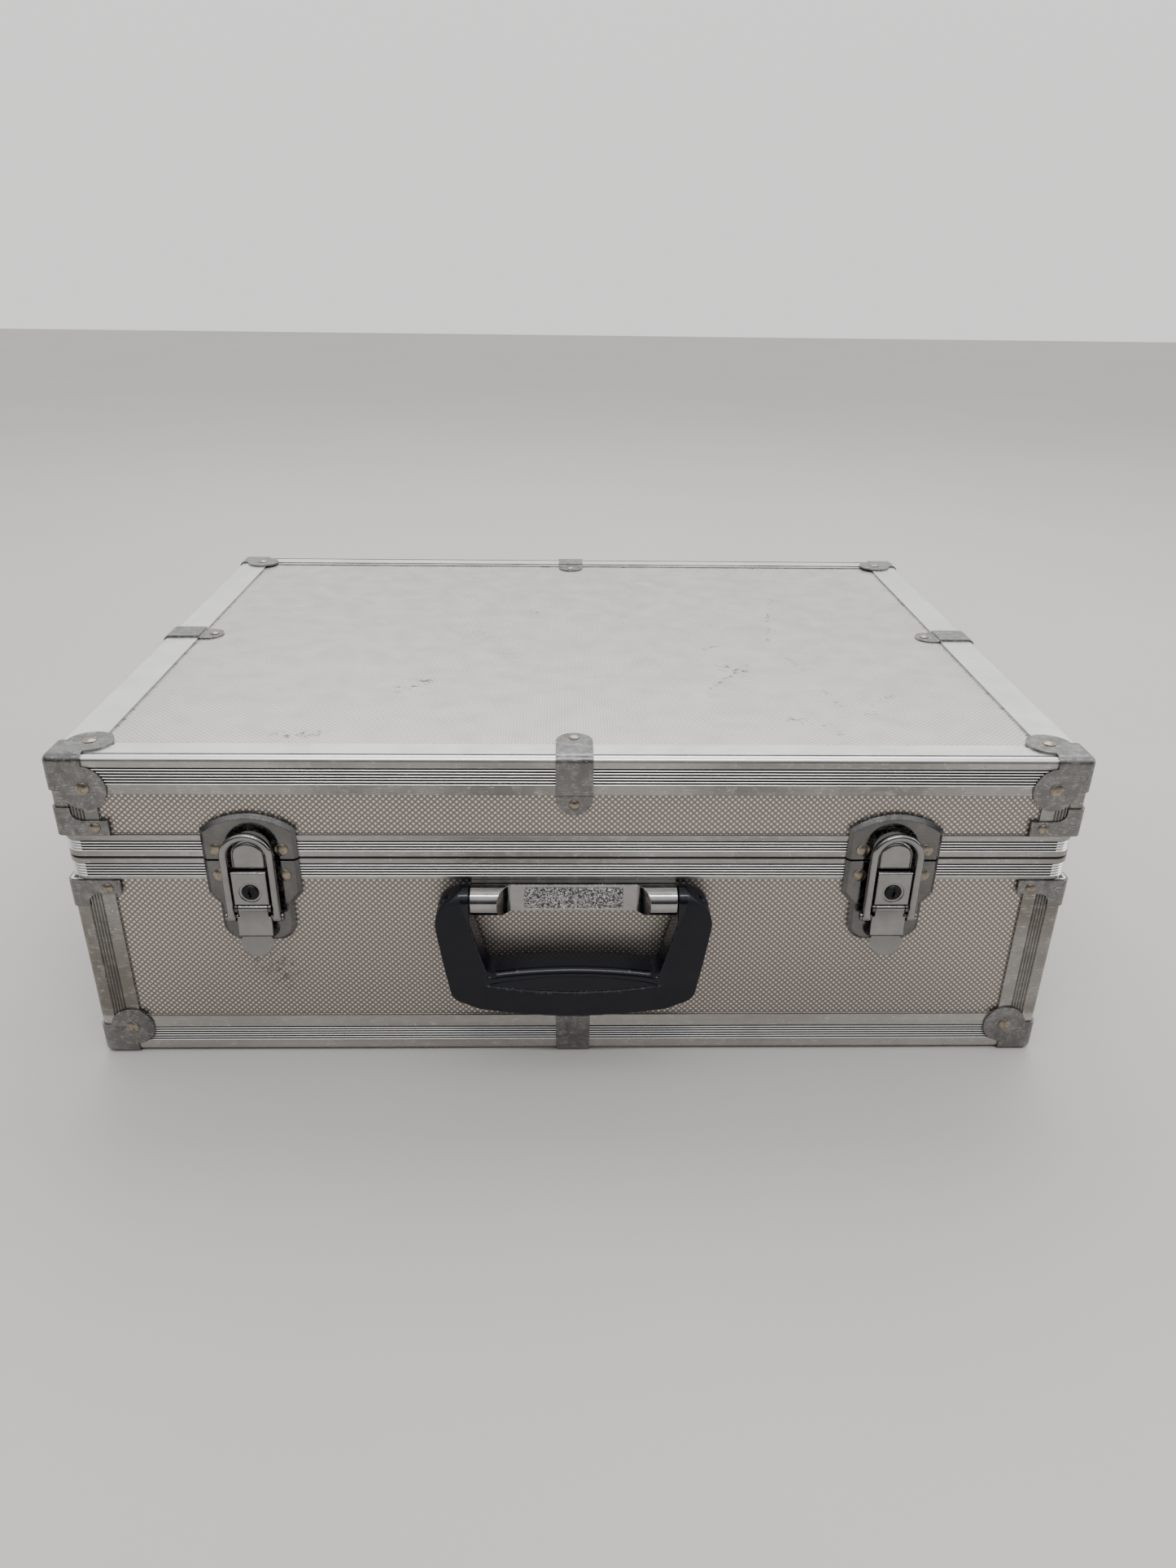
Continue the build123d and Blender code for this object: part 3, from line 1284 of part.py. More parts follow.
def lined_space(low, high, floor_at):
    """A thin lining on four walls and on one level face."""
    with BuildPart() as liner:
        with BuildSketch(level(low)):
            Rectangle(CASE_W - 2 * BOARD_IN, CASE_D - 2 * BOARD_IN)
            Rectangle(CASE_W - 2 * LINER_IN, CASE_D - 2 * LINER_IN, mode=Mode.SUBTRACT)
        extrude(amount=high - low)
        with BuildSketch(level(floor_at)):
            Rectangle(CASE_W - 2 * BOARD_IN, CASE_D - 2 * BOARD_IN)
        extrude(amount=LINER_T)
    return liner.part


def chip_tray(low):
    """A tray with half-round chip channels, two card wells and a well for dice and the dealer button."""
    deck = low + DECK_H
    with BuildPart() as tray:
        with BuildSketch(level(low)):
            RectangleRounded(2 * TRAY_HALF_X, 2 * TRAY_HALF_Y, TRAY_WALL)
        extrude(amount=TRAY_H)
        with BuildSketch(level(deck)):
            RectangleRounded(2 * (TRAY_HALF_X - TRAY_WALL), 2 * (TRAY_HALF_Y - TRAY_WALL), WELL_R)
        extrude(amount=TRAY_H, mode=Mode.SUBTRACT)
        with BuildSketch(Plane(origin=(0, CASE_Y, deck), x_dir=(1, 0, 0), z_dir=(0, -1, 0))):
            for side in (-1, 1):
                for i in range(CHANNELS_A_SIDE):
                    with Locations((side * (CHANNEL_FIRST + CHANNEL_PITCH * i), 0)):
                        Circle(CHIP_R)
        extrude(amount=CHANNEL_L / 2, both=True, mode=Mode.SUBTRACT)
        with BuildSketch(level(deck - WELL_DEEP)):
            with Locations((0, CARD_Y), (0, -CARD_Y)):
                RectangleRounded(WELL_W, CARD_L, WELL_R)
            RectangleRounded(WELL_W, DICE_L, WELL_R)
        extrude(amount=WELL_DEEP, mode=Mode.SUBTRACT)
    return tray.part


with BuildPart() as lid_foam:
    with BuildSketch(level(FOAM_LOW)):
        RectangleRounded(2 * TRAY_HALF_X, 2 * FOAM_HALF_Y, FOAM_R)
    extrude(amount=LID_CEILING - LINER_T - FOAM_LOW)

finish(lined_space(FLOOR_TOP, BASE_RIM_LOW, FLOOR_TOP), "base_liner")
finish(lined_space(LID_RIM_HIGH, LID_CEILING, LID_CEILING - LINER_T), "lid_liner")
finish(chip_tray(TRAY_FLOOR), "chip_tray_lower")
finish(chip_tray(TRAY_FLOOR + TRAY_H), "chip_tray_upper")
finish(lid_foam.part, "lid_foam")
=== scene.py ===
"""The look of the poker chip case: materials, dimpled panels, grip, foam, floor, light and camera."""

import math

import bpy
import numpy as np
from mathutils import Matrix, Vector


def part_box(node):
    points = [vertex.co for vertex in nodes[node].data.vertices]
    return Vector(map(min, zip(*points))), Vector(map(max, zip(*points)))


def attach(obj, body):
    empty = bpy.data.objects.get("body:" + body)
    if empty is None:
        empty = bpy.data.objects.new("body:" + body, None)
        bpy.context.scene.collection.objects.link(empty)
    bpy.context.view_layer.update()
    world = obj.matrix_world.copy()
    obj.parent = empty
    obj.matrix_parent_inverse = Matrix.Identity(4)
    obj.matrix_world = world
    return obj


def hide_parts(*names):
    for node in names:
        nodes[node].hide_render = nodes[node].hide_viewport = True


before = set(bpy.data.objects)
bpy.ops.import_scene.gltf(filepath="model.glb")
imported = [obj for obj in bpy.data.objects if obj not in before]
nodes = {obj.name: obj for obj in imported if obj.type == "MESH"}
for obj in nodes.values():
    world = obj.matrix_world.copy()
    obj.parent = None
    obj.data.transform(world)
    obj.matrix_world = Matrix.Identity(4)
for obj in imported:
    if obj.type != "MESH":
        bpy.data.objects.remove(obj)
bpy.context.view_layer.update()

MM = 0.001

# The case's box without its fittings, in millimetres in the frame's axes.
WIDTH = 460.0
FRONT_Y, REAR_Y = -165.0, 175.0
DEPTH = REAR_Y - FRONT_Y
CASE_Y = (FRONT_Y + REAR_Y) / 2
TOP_Z = 161.0
SPLIT_Z = 111.0
SKIN_OUT = 1.3  # how far the dimpled sheets lie in from the outer faces


# ---------------------------------------------------------------- node helpers


def linear(r, g, b):
    """An 8-bit screen colour as a linear one."""
    values = []
    for v in (r, g, b):
        v /= 255
        values.append(v / 12.92 if v <= 0.04045 else ((v + 0.055) / 1.055) ** 2.4)
    return (*values, 1.0)


def lighter(color, factor):
    """A linear colour made lighter or darker."""
    return (*(value * factor for value in color[:3]), 1.0)


MIX_A, MIX_B, MIX_OUT = 6, 7, 2  # the colour sockets of a Mix node
SCRATCH_STRETCH = 14.0  # how much longer than wide a scratch is


class NodeTree:
    """Short ways to add nodes to a material or a world."""

    def __init__(self, tree):
        self.tree = tree

    def add(self, kind, **settings):
        made = self.tree.nodes.new(kind)
        for key, value in settings.items():
            setattr(made, key, value)
        return made

    def feed(self, socket, value):
        """Link a socket to another one, or give it a value."""
        if hasattr(value, "links"):
            self.tree.links.new(value, socket)
        else:
            socket.default_value = value

    def math(self, operation, a, b=0.0, clamp=False):
        made = self.add("ShaderNodeMath", operation=operation, use_clamp=clamp)
        self.feed(made.inputs[0], a)
        self.feed(made.inputs[1], b)
        return made.outputs[0]

    def separate(self, source):
        """The X, Y and Z of a vector."""
        made = self.add("ShaderNodeSeparateXYZ")
        self.feed(made.inputs[0], source)
        return tuple(made.outputs)

    def ramp(self, factor, *stops):
        """A ramp of grey values or colours between (place, value) stops."""
        made = self.add("ShaderNodeValToRGB")
        self.feed(made.inputs["Fac"], factor)
        elements = made.color_ramp.elements
        while len(elements) < len(stops):
            elements.new(0.5)
        for element, (place, value) in zip(elements, stops):
            element.position = place
            element.color = value if isinstance(value, tuple) else (value, value, value, 1.0)
        return made.outputs["Color"]

    def mix(self, factor, a, b, blend="MIX"):
        made = self.add("ShaderNodeMix", data_type="RGBA", blend_type=blend)
        self.feed(made.inputs["Factor"], factor)
        self.feed(made.inputs[MIX_A], a)
        self.feed(made.inputs[MIX_B], b)
        return made.outputs[MIX_OUT]


class Material(NodeTree):
    """A node material, with the patterns that this scene needs."""

    def __init__(self, name):
        self.mat = bpy.data.materials.new(name)
        self.mat.use_nodes = True
        super().__init__(self.mat.node_tree)
        self.shader = self.tree.nodes["Principled BSDF"]
        self.place = self.add("ShaderNodeTexCoord").outputs["Object"]

    def mapped(self, scale=(1, 1, 1), rotation=(0, 0, 0)):
        made = self.add("ShaderNodeMapping")
        self.feed(made.inputs["Vector"], self.place)
        made.inputs["Scale"].default_value = scale
        made.inputs["Rotation"].default_value = rotation
        return made.outputs[0]

    def noise(self, scale, detail=4.0, rough=0.55, vector=None, distortion=0.0):
        made = self.add("ShaderNodeTexNoise")
        self.feed(made.inputs["Vector"], vector or self.place)
        made.inputs["Scale"].default_value = scale
        made.inputs["Detail"].default_value = detail
        made.inputs["Roughness"].default_value = rough
        made.inputs["Distortion"].default_value = distortion
        return made.outputs["Fac"]

    def cells(self, scale, vector=None, feature="F1", output="Distance"):
        made = self.add("ShaderNodeTexVoronoi", feature=feature)
        self.feed(made.inputs["Vector"], vector or self.place)
        made.inputs["Scale"].default_value = scale
        return made.outputs[output]

    def scratches(self, scale, angle, axis, width):
        """Thin broken lines turned about one axis, 1 on a line and 0 elsewhere."""
        turn = [0.0, 0.0, 0.0]
        turn[axis] = angle
        stretched = self.mapped((1, SCRATCH_STRETCH, SCRATCH_STRETCH), tuple(turn))
        lines = self.cells(scale, stretched, "DISTANCE_TO_EDGE")
        on_line = self.math("LESS_THAN", lines, width)
        broken = self.ramp(self.noise(scale * 1.7, 2.0), (0.52, 0.0), (0.60, 1.0))
        return self.math("MULTIPLY", on_line, broken)

    def vector(self, operation, a, b=None, output=0):
        made = self.add("ShaderNodeVectorMath", operation=operation)
        self.feed(made.inputs[0], a)
        if b is not None:
            self.feed(made.inputs["Scale" if operation == "SCALE" else 1], b)
        return made.outputs[output]

    def stroke(self, start, end, width):
        """A soft line between two places in millimetres, 1 along its middle and 0 from width away."""
        start, end = Vector(start) * MM, Vector(end) * MM
        length = (end - start).length
        way = (end - start) / length
        offset = self.vector("SUBTRACT", self.place, start)
        reach = self.vector("DOT_PRODUCT", offset, way / length, 1)
        along = self.math("MULTIPLY", reach, 1.0, clamp=True)
        nearest = self.vector("SCALE", tuple(way * length), along)
        away = self.vector("LENGTH", self.vector("SUBTRACT", offset, nearest), None, 1)
        return self.math("SUBTRACT", 1.0, self.math("DIVIDE", away, width * MM), clamp=True)

    def strokes(self, *lines):
        """Several soft lines at once, each as start, end and width."""
        total = self.stroke(*lines[0])
        for line in lines[1:]:
            total = self.math("MAXIMUM", total, self.stroke(*line))
        return total

    def bump(self, height, distance, strength=1.0, onto=None):
        made = self.add("ShaderNodeBump")
        made.inputs["Strength"].default_value = strength
        made.inputs["Distance"].default_value = distance
        self.feed(made.inputs["Height"], height)
        if onto is not None:
            self.feed(made.inputs["Normal"], onto)
        return made.outputs["Normal"]

    def soft_edges(self, radius):
        """A normal that catches light along the corners of a piece, as slightly rounded metal does."""
        made = self.add("ShaderNodeBevel", samples=4)
        made.inputs["Radius"].default_value = radius * MM
        return made.outputs["Normal"]

    def finish(self, color, metallic, roughness, normal=None, **other):
        self.feed(self.shader.inputs["Base Color"], color)
        self.feed(self.shader.inputs["Metallic"], metallic)
        self.feed(self.shader.inputs["Roughness"], roughness)
        if normal is not None:
            self.feed(self.shader.inputs["Normal"], normal)
        for key, value in other.items():
            self.shader.inputs[key.replace("_", " ")].default_value = value
        return self.mat


def dress(names, material):
    """Give CAD nodes a material in place of their own."""
    for name in names:
        slots = nodes[name].material_slots
        if not slots:
            nodes[name].data.materials.append(material)
        for slot in nodes[name].material_slots:
            slot.material = material


# ---------------------------------------------------------------- materials


GROOVE_DEEP = 0.12  # how far below its face a rail starts to darken with grime and painted shade, and how much lower it is fully dark
GROOVE_END = 0.8  # below this depth the metal is no groove but an inner face
WALL_LOW, WALL_HIGH = 3.8, 158.2  # the grooves are on the walls between these heights
SPLIT_SHADE_REACH = 0.62  # how far from the split its dark line of painted shade reaches
PAINTED_LIGHT_BY_HEIGHT = (  # share of the top's height, and how bright the extrusions are painted there: painted light and shade that stand in for what the room reflects in them
    (0.130, 1.42),
    (0.150, 0.95),
    (0.600, 0.95),
    (0.620, 0.80),
    (0.770, 0.80),
    (0.885, 0.68),
    (0.915, 0.68),
    (0.930, 1.0),
)


def extruded_aluminium(name, corner_margin, darkening, wall_tones):
    """Satin extrusion: lines along each rail, grime and painted shade in the grooves, a dark line of
    painted shade along the split, painted light on faces turned up and painted light and shade by height,
    small nicks and worn stretches.
    """
    m = Material(name)
    x, y, z = m.separate(m.place)
    past_x = m.math("SUBTRACT", m.math("ABSOLUTE", x), WIDTH / 2 * MM)
    past_y = m.math("SUBTRACT", m.math("ABSOLUTE", m.math("SUBTRACT", y, CASE_Y * MM)), DEPTH / 2 * MM)
    on_side = m.math("GREATER_THAN", past_x, past_y)
    depth = m.math("MAXIMUM", past_x, past_y)
    along_x = m.noise(1.0, 6.0, 0.7, m.mapped((6, 2600, 2600)))
    along_y = m.noise(1.0, 6.0, 0.7, m.mapped((2600, 6, 2600)))
    lines = m.mix(on_side, along_x, along_y)
    stains = m.noise(38.0, 7.0, 0.62)
    clouds = m.noise(9.0, 3.0, 0.5)
    specks = m.noise(620.0, 4.0, 0.65)
    rub = m.math("MAXIMUM", m.scratches(120.0, 0.5, 2, 0.02), m.scratches(90.0, 1.3, 1, 0.018))

    deep = m.math("DIVIDE", m.math("ADD", depth, GROOVE_DEEP * MM), -GROOVE_DEEP * MM, clamp=True)
    in_groove = m.math("MULTIPLY", deep, m.math("GREATER_THAN", depth, -GROOVE_END * MM))
    above_low = m.math("GREATER_THAN", z, WALL_LOW * MM)
    on_wall = m.math("MULTIPLY", above_low, m.math("LESS_THAN", z, WALL_HIGH * MM))
    off_corner = m.math("LESS_THAN", m.math("MINIMUM", past_x, past_y), -corner_margin * MM)
    in_groove = m.math("MULTIPLY", m.math("MULTIPLY", in_groove, on_wall), off_corner)
    facing_up = m.separate(m.add("ShaderNodeTexCoord").outputs["Normal"])[2]
    painted_top_light = m.ramp(facing_up, (0.2, 0.0), (0.6, 1.0))

    wall = m.ramp(lines, (0.25, linear(*wall_tones[0])), (0.75, linear(*wall_tones[1])))
    # Painted light and shade: the extrusions are made lighter and darker by height, as the room's
    # reflection falls on them.
    painted_light = m.ramp(m.math("DIVIDE", z, TOP_Z * MM), *PAINTED_LIGHT_BY_HEIGHT)
    wall = m.mix(1.0, wall, painted_light, "MULTIPLY")
    # Faces turned up get the pale top tones: painted light from above on the same metal as the walls.
    top = m.ramp(lines, (0.25, linear(222, 222, 220)), (0.75, linear(240, 240, 238)))
    color = m.mix(painted_top_light, wall, top)
    color = m.mix(m.ramp(stains, (0.60, 0.0), (0.78, 0.35)), color, linear(128, 125, 121))
    color = m.mix(m.ramp(clouds, (0.45, 0.0), (0.62, 0.25)), color, linear(228, 228, 227))
    color = m.mix(m.math("MULTIPLY", rub, 0.5), color, linear(240, 240, 238))
    color = m.mix(m.ramp(specks, (0.70, 0.0), (0.73, 0.75)), color, linear(84, 80, 76))
    # Grooves: grime and painted shade, painted nearly black.
    color = m.mix(m.math("MULTIPLY", in_groove, darkening), color, linear(30, 28, 26))
    # A dark line along the split: painted shade of the gap between lid and base.
    from_split = m.math("ABSOLUTE", m.math("SUBTRACT", z, SPLIT_Z * MM))
    in_split_shade = m.math("LESS_THAN", from_split, SPLIT_SHADE_REACH * MM)
    color = m.mix(m.math("MULTIPLY", in_split_shade, 0.95), color, linear(26, 24, 22))
    rough = m.mix(in_groove, m.ramp(stains, (0.3, 0.24), (0.7, 0.38)), (0.7, 0.7, 0.7, 1.0))
    return m.finish(color, 1.0, rough, m.bump(lines, 0.02 * MM, 0.6))


def dimpled_aluminium(name, ground_tones, crown_tones, darkening):
    """Embossed sheet: dots painted pale, as rubbed metal and as painted highlight, on a duller ground that
    is painted shade between the dots and holds the grime.
    """
    m = Material(name)
    dots = m.add("ShaderNodeAttribute", attribute_name="dot").outputs["Fac"]
    clouds = m.noise(7.0, 3.0, 0.5)
    smudges = m.noise(70.0, 4.0, 0.6)
    scuffs = m.ramp(m.noise(42.0, 9.0, 0.75, None, 0.8), (0.69, 0.0), (0.73, 1.0))
    patchy = m.ramp(m.noise(11.0, 2.0, 0.5), (0.50, 0.0), (0.60, 1.0))
    # The dark ground is painted shade between the dots. The pale crowns are partly a painted highlight and
    # partly rubbed metal.
    ground = m.mix(clouds, *(linear(*tone) for tone in ground_tones))
    crown = m.mix(smudges, *(linear(*tone) for tone in crown_tones))
    color = m.mix(m.ramp(dots, (0.15, 0.0), (0.85, 1.0)), ground, crown)
    scuffed = m.math("MULTIPLY", m.math("MULTIPLY", scuffs, patchy), 0.5)
    color = m.mix(scuffed, color, linear(104, 99, 94))
    flecks = m.ramp(m.noise(260.0, 8.0, 0.7, None, 0.5), (0.52, 0.0), (0.62, 1.0))
    color = m.mix(m.math("MULTIPLY", darkening(m), flecks), color, linear(92, 87, 82))
    rough = m.ramp(smudges, (0.3, 0.34), (0.7, 0.44))
    return m.finish(color, 0.85, rough, m.bump(m.noise(900.0, 2.0), 0.03 * MM, 0.5))


GRIME_FROM_SIDE, GRIME_FROM_FRONT = 20.2, 17.6  # how far in from the faces the lid's edge grime ends


def lid_dirt(m):
    """Scuffs and thin scratches on the lid's top, and grime along the edges of its panel."""
    z = TOP_Z - 1.0
    scuffs = m.strokes(
        ((-88, -80, z), (-76, -69, z), 7.0),
        ((-24, 52, z), (-18, 53, z), 4.0),
        ((-54, -110, z), (-47, -112, z), 2.5),
        ((-134, -138, z), (-118, -136, z), 6.0),
        ((84, -46, z), (92, -52, z), 9.0),
        ((106, -117, z), (124, -132, z), 6.0),
        ((144, -110, z), (160, -86, z), 4.0),
    )
    scratches = m.strokes(
        ((128, 83, z), (119, 40, z), 2.2),
        ((119, 40, z), (112, -4, z), 2.0),
        ((74, -16, z), (82, -11, z), 2.2),
        ((94, -42, z), (70, -78, z), 2.4),
        ((115, -24, z), (124, -50, z), 2.2),
        ((128, -80, z), (132, -100, z), 2.0),
    )
    haze = m.strokes(
        ((158, 39, z), (123, -56, z), 9.0),
        ((88, 128, z), (190, 119, z), 4.0),
        ((-60, 20, z), (-30, -40, z), 26.0),
    )
    x, y, _ = m.separate(m.place)
    past_x = m.math("SUBTRACT", m.math("ABSOLUTE", x), (WIDTH / 2 - GRIME_FROM_SIDE) * MM)
    past_y = m.math("ABSOLUTE", m.math("SUBTRACT", y, CASE_Y * MM))
    past_y = m.math("SUBTRACT", past_y, (DEPTH / 2 - GRIME_FROM_FRONT) * MM)
    edge = m.math("GREATER_THAN", m.math("MAXIMUM", past_x, past_y), 0.0)
    darkening = m.math("MULTIPLY", scuffs, 1.3)
    for pattern, amount in ((scratches, 1.2), (haze, 0.22), (edge, 0.8)):
        darkening = m.math("MAXIMUM", darkening, m.math("MULTIPLY", pattern, amount))
    return darkening


def wall_dark_patch(m):
    """A darker patch on the front wall just below the left latch."""
    face = FRONT_Y + SKIN_OUT
    return m.math("MULTIPLY", m.stroke((-150, face, 64), (-138, face, 48), 16.0), 0.75)


def flat_sheet_metal():
    """The plain sheet under the case, with its dimples as bump."""
    m = Material("bottom_sheet")
    turned = m.mapped((1, 1, 1), (0, 0, math.pi / 4))
    dots = m.cells(500.0, turned, "F1")
    stains = m.noise(26.0, 8.0, 0.62)
    color = m.mix(m.ramp(dots, (0.1, 1.0), (0.55, 0.0)), linear(126, 120, 114), linear(205, 201, 196))
    color = m.mix(m.ramp(stains, (0.55, 0.0), (0.75, 0.5)), color, linear(96, 90, 84))
    return m.finish(color, 1.0, m.ramp(stains, (0.3, 0.34), (0.7, 0.5)), m.bump(dots, -0.3 * MM, 0.8))


def pressed_steel(name, light, rough_range, wavy, worn):
    """Plated pressings: worn plating, fine scratches every way, dull spots and a slightly wavy face."""
    m = Material(name)
    clouds = m.noise(60.0, 6.0, 0.6)
    spots = m.noise(420.0, 3.0, 0.6)
    wave = m.noise(110.0, 2.0, 0.4)
    marks = m.math("MAXIMUM", m.scratches(190.0, 0.4, 2, 0.03), m.scratches(160.0, 1.2, 1, 0.028))
    marks = m.math("MAXIMUM", marks, m.scratches(140.0, -0.6, 0, 0.026))
    dark, pale = (lighter(linear(*tone), light) for tone in ((108, 107, 106), (134, 133, 133)))
    color = m.mix(m.ramp(clouds, (0.3, 0.0), (0.7, 1.0)), dark, pale)
    color = m.mix(m.ramp(spots, (0.70, 0.0), (0.80, worn)), color, linear(112, 104, 96))
    color = m.mix(m.math("MULTIPLY", marks, worn), color, linear(224, 223, 221))
    plain_rough = m.ramp(clouds, (0.3, rough_range[0]), (0.7, rough_range[1]))
    rough = m.mix(marks, plain_rough, (0.5, 0.5, 0.5, 1.0))
    tarnish = m.ramp(m.noise(85.0, 6.0, 0.7, None, 0.6), (0.60, 0.0), (0.66, worn))
    color = m.mix(tarnish, color, linear(66, 67, 72))
    return m.finish(color, 1.0, rough, m.bump(wave, 0.3 * MM, wavy, m.soft_edges(0.45)))


def chrome(name, light=1.0):
    """Bright plating with a little haze, fingerprints and hairline scratches."""
    m = Material(name)
    haze = m.noise(150.0, 5.0, 0.6)
    prints = m.noise(900.0, 2.0, 0.5)
    marks = m.scratches(260.0, 0.7, 1, 0.02)
    low, high = (lighter(linear(*tone), light) for tone in ((122, 121, 120), (158, 157, 156)))
    color = m.mix(haze, low, high)
    color = m.mix(m.math("MULTIPLY", marks, 0.4), color, linear(150, 148, 146))
    rough = m.math("ADD", m.ramp(haze, (0.35, 0.05), (0.7, 0.14)), m.math("MULTIPLY", prints, 0.05))
    return m.finish(color, 1.0, rough, m.bump(haze, 0.1 * MM, 0.25, m.soft_edges(0.5)))


def rivet_metal():
    """Warm grey rivets, darker in patches."""
    m = Material("rivet_metal")
    clouds = m.noise(520.0, 5.0, 0.6)
    color = m.mix(m.ramp(clouds, (0.35, 0.0), (0.65, 1.0)), linear(122, 114, 101), linear(172, 163, 148))
    edged = m.bump(clouds, 0.08 * MM, 0.5, m.soft_edges(0.6))
    return m.finish(color, 1.0, m.ramp(clouds, (0.3, 0.22), (0.7, 0.42)), edged)


def fibreboard():
    """Brown pressed board, for the little of it that shows."""
    m = Material("fibreboard")
    fibres = m.noise(1.0, 8.0, 0.7, m.mapped((900, 300, 900)))
    color = m.mix(fibres, linear(92, 66, 44), linear(150, 116, 82))
    return m.finish(color, 0.0, 0.8, m.bump(fibres, 0.2 * MM, 0.6))


def grip_plastic():
    """Moulded black plastic: a matt grain outside, polished inside, and pale scuffs along the crease."""
    m = Material("black_plastic")
    polished = m.add("ShaderNodeAttribute", attribute_name="polished").outputs["Fac"]
    crease = m.add("ShaderNodeAttribute", attribute_name="crease").outputs["Fac"]
    pores = m.noise(2600.0, 3.0, 0.6)
    wear = m.noise(48.0, 5.0, 0.6)
    dust = m.ramp(m.noise(700.0, 6.0, 0.7), (0.66, 0.0), (0.80, 0.30))
    color = m.mix(wear, linear(6, 8, 17), linear(11, 14, 25))
    color = m.mix(m.math("MULTIPLY", dust, m.math("SUBTRACT", 1.0, polished)), color, linear(88, 90, 94))
    scuffs = m.math("MULTIPLY", crease, m.ramp(m.noise(520.0, 6.0, 0.7), (0.54, 0.0), (0.68, 0.55)))
    color = m.mix(scuffs, color, linear(112, 112, 114))
    rough = m.mix(polished, m.ramp(wear, (0.35, 0.42), (0.65, 0.58)), (0.19, 0.19, 0.19, 1.0))
    grain = m.math("MULTIPLY", pores, m.math("SUBTRACT", 1.0, polished))
    return m.finish(color, 0.0, rough, m.bump(grain, 0.05 * MM, 0.7), Specular_IOR_Level=0.36)


def lock_plastic():
    """The smooth black face of a key cylinder, worn round its keyway."""
    m = Material("lock_black")
    wear = m.noise(300.0, 5.0, 0.6)
    color = m.mix(wear, linear(6, 6, 8), linear(18, 18, 21))
    rough = m.ramp(wear, (0.35, 0.16), (0.65, 0.34))
    return m.finish(color, 0.0, rough, m.bump(wear, 0.03 * MM, 0.4), Specular_IOR_Level=0.25)


def glitter():
    """Silver glitter film: small flakes, each turned its own way."""
    m = Material("glitter")
    tint = m.cells(2300.0, None, "F1", "Color")
    coarse = m.cells(1100.0, None, "F1", "Color")
    value = m.ramp(tint, (0.25, 0.02), (0.62, 0.14), (0.90, 1.0))
    color = m.mix(0.30, value, m.ramp(coarse, (0.3, 0.05), (0.8, 0.85)))
    return m.finish(color, 0.75, m.ramp(tint, (0.1, 0.45), (0.9, 0.16)), m.bump(tint, 0.3 * MM, 1.0))


def felt(name, low, high, scale=1500.0):
    """Short dark pile with lint, pale at a grazing view."""
    m = Material(name)
    pile = m.noise(scale, 6.0, 0.75)
    patches = m.noise(22.0, 4.0, 0.6)
    lint = m.ramp(m.noise(scale * 0.4, 3.0, 0.6), (0.68, 0.0), (0.74, 0.6))
    color = m.mix(m.math("MULTIPLY", pile, patches), linear(*low), linear(*high))
    color = m.mix(lint, color, linear(86, 86, 90))
    return m.finish(color, 0.0, 0.92, m.bump(pile, 0.4 * MM, 0.8), Sheen_Weight=0.35, Sheen_Roughness=0.5)


# Each pair of tones is a dark and a pale 8-bit colour. On sheets, the ground's pair comes first.
RAIL_TONES = (128, 125, 122), (166, 163, 160)
POST_TONES = (114, 110, 105), (138, 133, 128)
# One metal: the walls' tones are painted darker as shade, and the top's paler as light from above.
SHADED_WALL_TONES = ((116, 109, 103), (126, 118, 111)), ((228, 220, 213), (244, 237, 231))
LIT_TOP_TONES = ((182, 177, 171), (187, 182, 176)), ((232, 228, 222), (246, 242, 237))
rails = extruded_aluminium("extruded_rail", 2.7, 0.95, RAIL_TONES)
posts = extruded_aluminium("extruded_post", 2.7, 0.12, POST_TONES)
rim_metal = extruded_aluminium("extruded_rim", 8.5, 0.95, RAIL_TONES)
shaded_wall_sheet = dimpled_aluminium("dimpled_walls", *SHADED_WALL_TONES, wall_dark_patch)
lit_top_sheet = dimpled_aluminium("dimpled_top", *LIT_TOP_TONES, lid_dirt)
pressings = pressed_steel("pressed_steel", 0.92, (0.22, 0.44), 0.35, 0.45)
latch_plate = pressed_steel("latch_plate", 0.72, (0.06, 0.14), 0.15, 0.12)
bright = chrome("chrome")
# The handle bar's chrome is painted lighter than the same plating elsewhere: painted light on the bar.
bar_painted_lighter = chrome("bar_chrome_painted_lighter", 1.3)
rivets = rivet_metal()
board = fibreboard()
plastic = grip_plastic()
lock_black = lock_plastic()
lining = felt("lining", (13, 13, 15), (40, 40, 44))
flock = felt("flock", (16, 16, 19), (48, 48, 53), 1900.0)
foam_pile = felt("foam", (18, 18, 20), (46, 46, 50), 900.0)

BOTH = ("left", "right")
dress(["base_edge_rails", "lid_edge_rails"], rails)
dress(["base_corner_posts", "lid_corner_posts"], posts)
dress(["base_rim", "lid_rim"], rim_metal)
dress(["base_corner_caps", "lid_corner_caps", "base_corner_brackets", "lid_corner_brackets"], pressings)
dress(["base_edge_clips", "lid_edge_clips", "hinge_base_leaves", "hinge_lid_leaves"], pressings)
dress(["stay_base_studs", "stay_lid_studs", "stay_arm_left", "stay_arm_right"], pressings)
dress([f"latch_{level}_plate_{hand}" for level in ("upper", "lower") for hand in BOTH], latch_plate)
LATCH_WORKS = ("latch_lever", "latch_bail", "lock_box")
dress([f"{piece}_{hand}" for piece in LATCH_WORKS for hand in BOTH], bright)
dress(["keeper_domes", "latch_lever_pins"], bright)
dress(["handle_bar"], bar_painted_lighter)
dress(["base_rivets", "lid_rivets", "handle_pins", "handle_screws", "hinge_pins"], rivets)
dress([name for name in nodes if name.endswith(("_board", "_boards"))], board)
dress(["lock_cylinder_left", "lock_cylinder_right"], lock_black)
dress(["handle_inlay"], glitter())
dress(["base_liner", "lid_liner"], lining)
dress(["chip_tray_lower", "chip_tray_upper"], flock)
dress(["base_bottom_skin"], flat_sheet_metal())


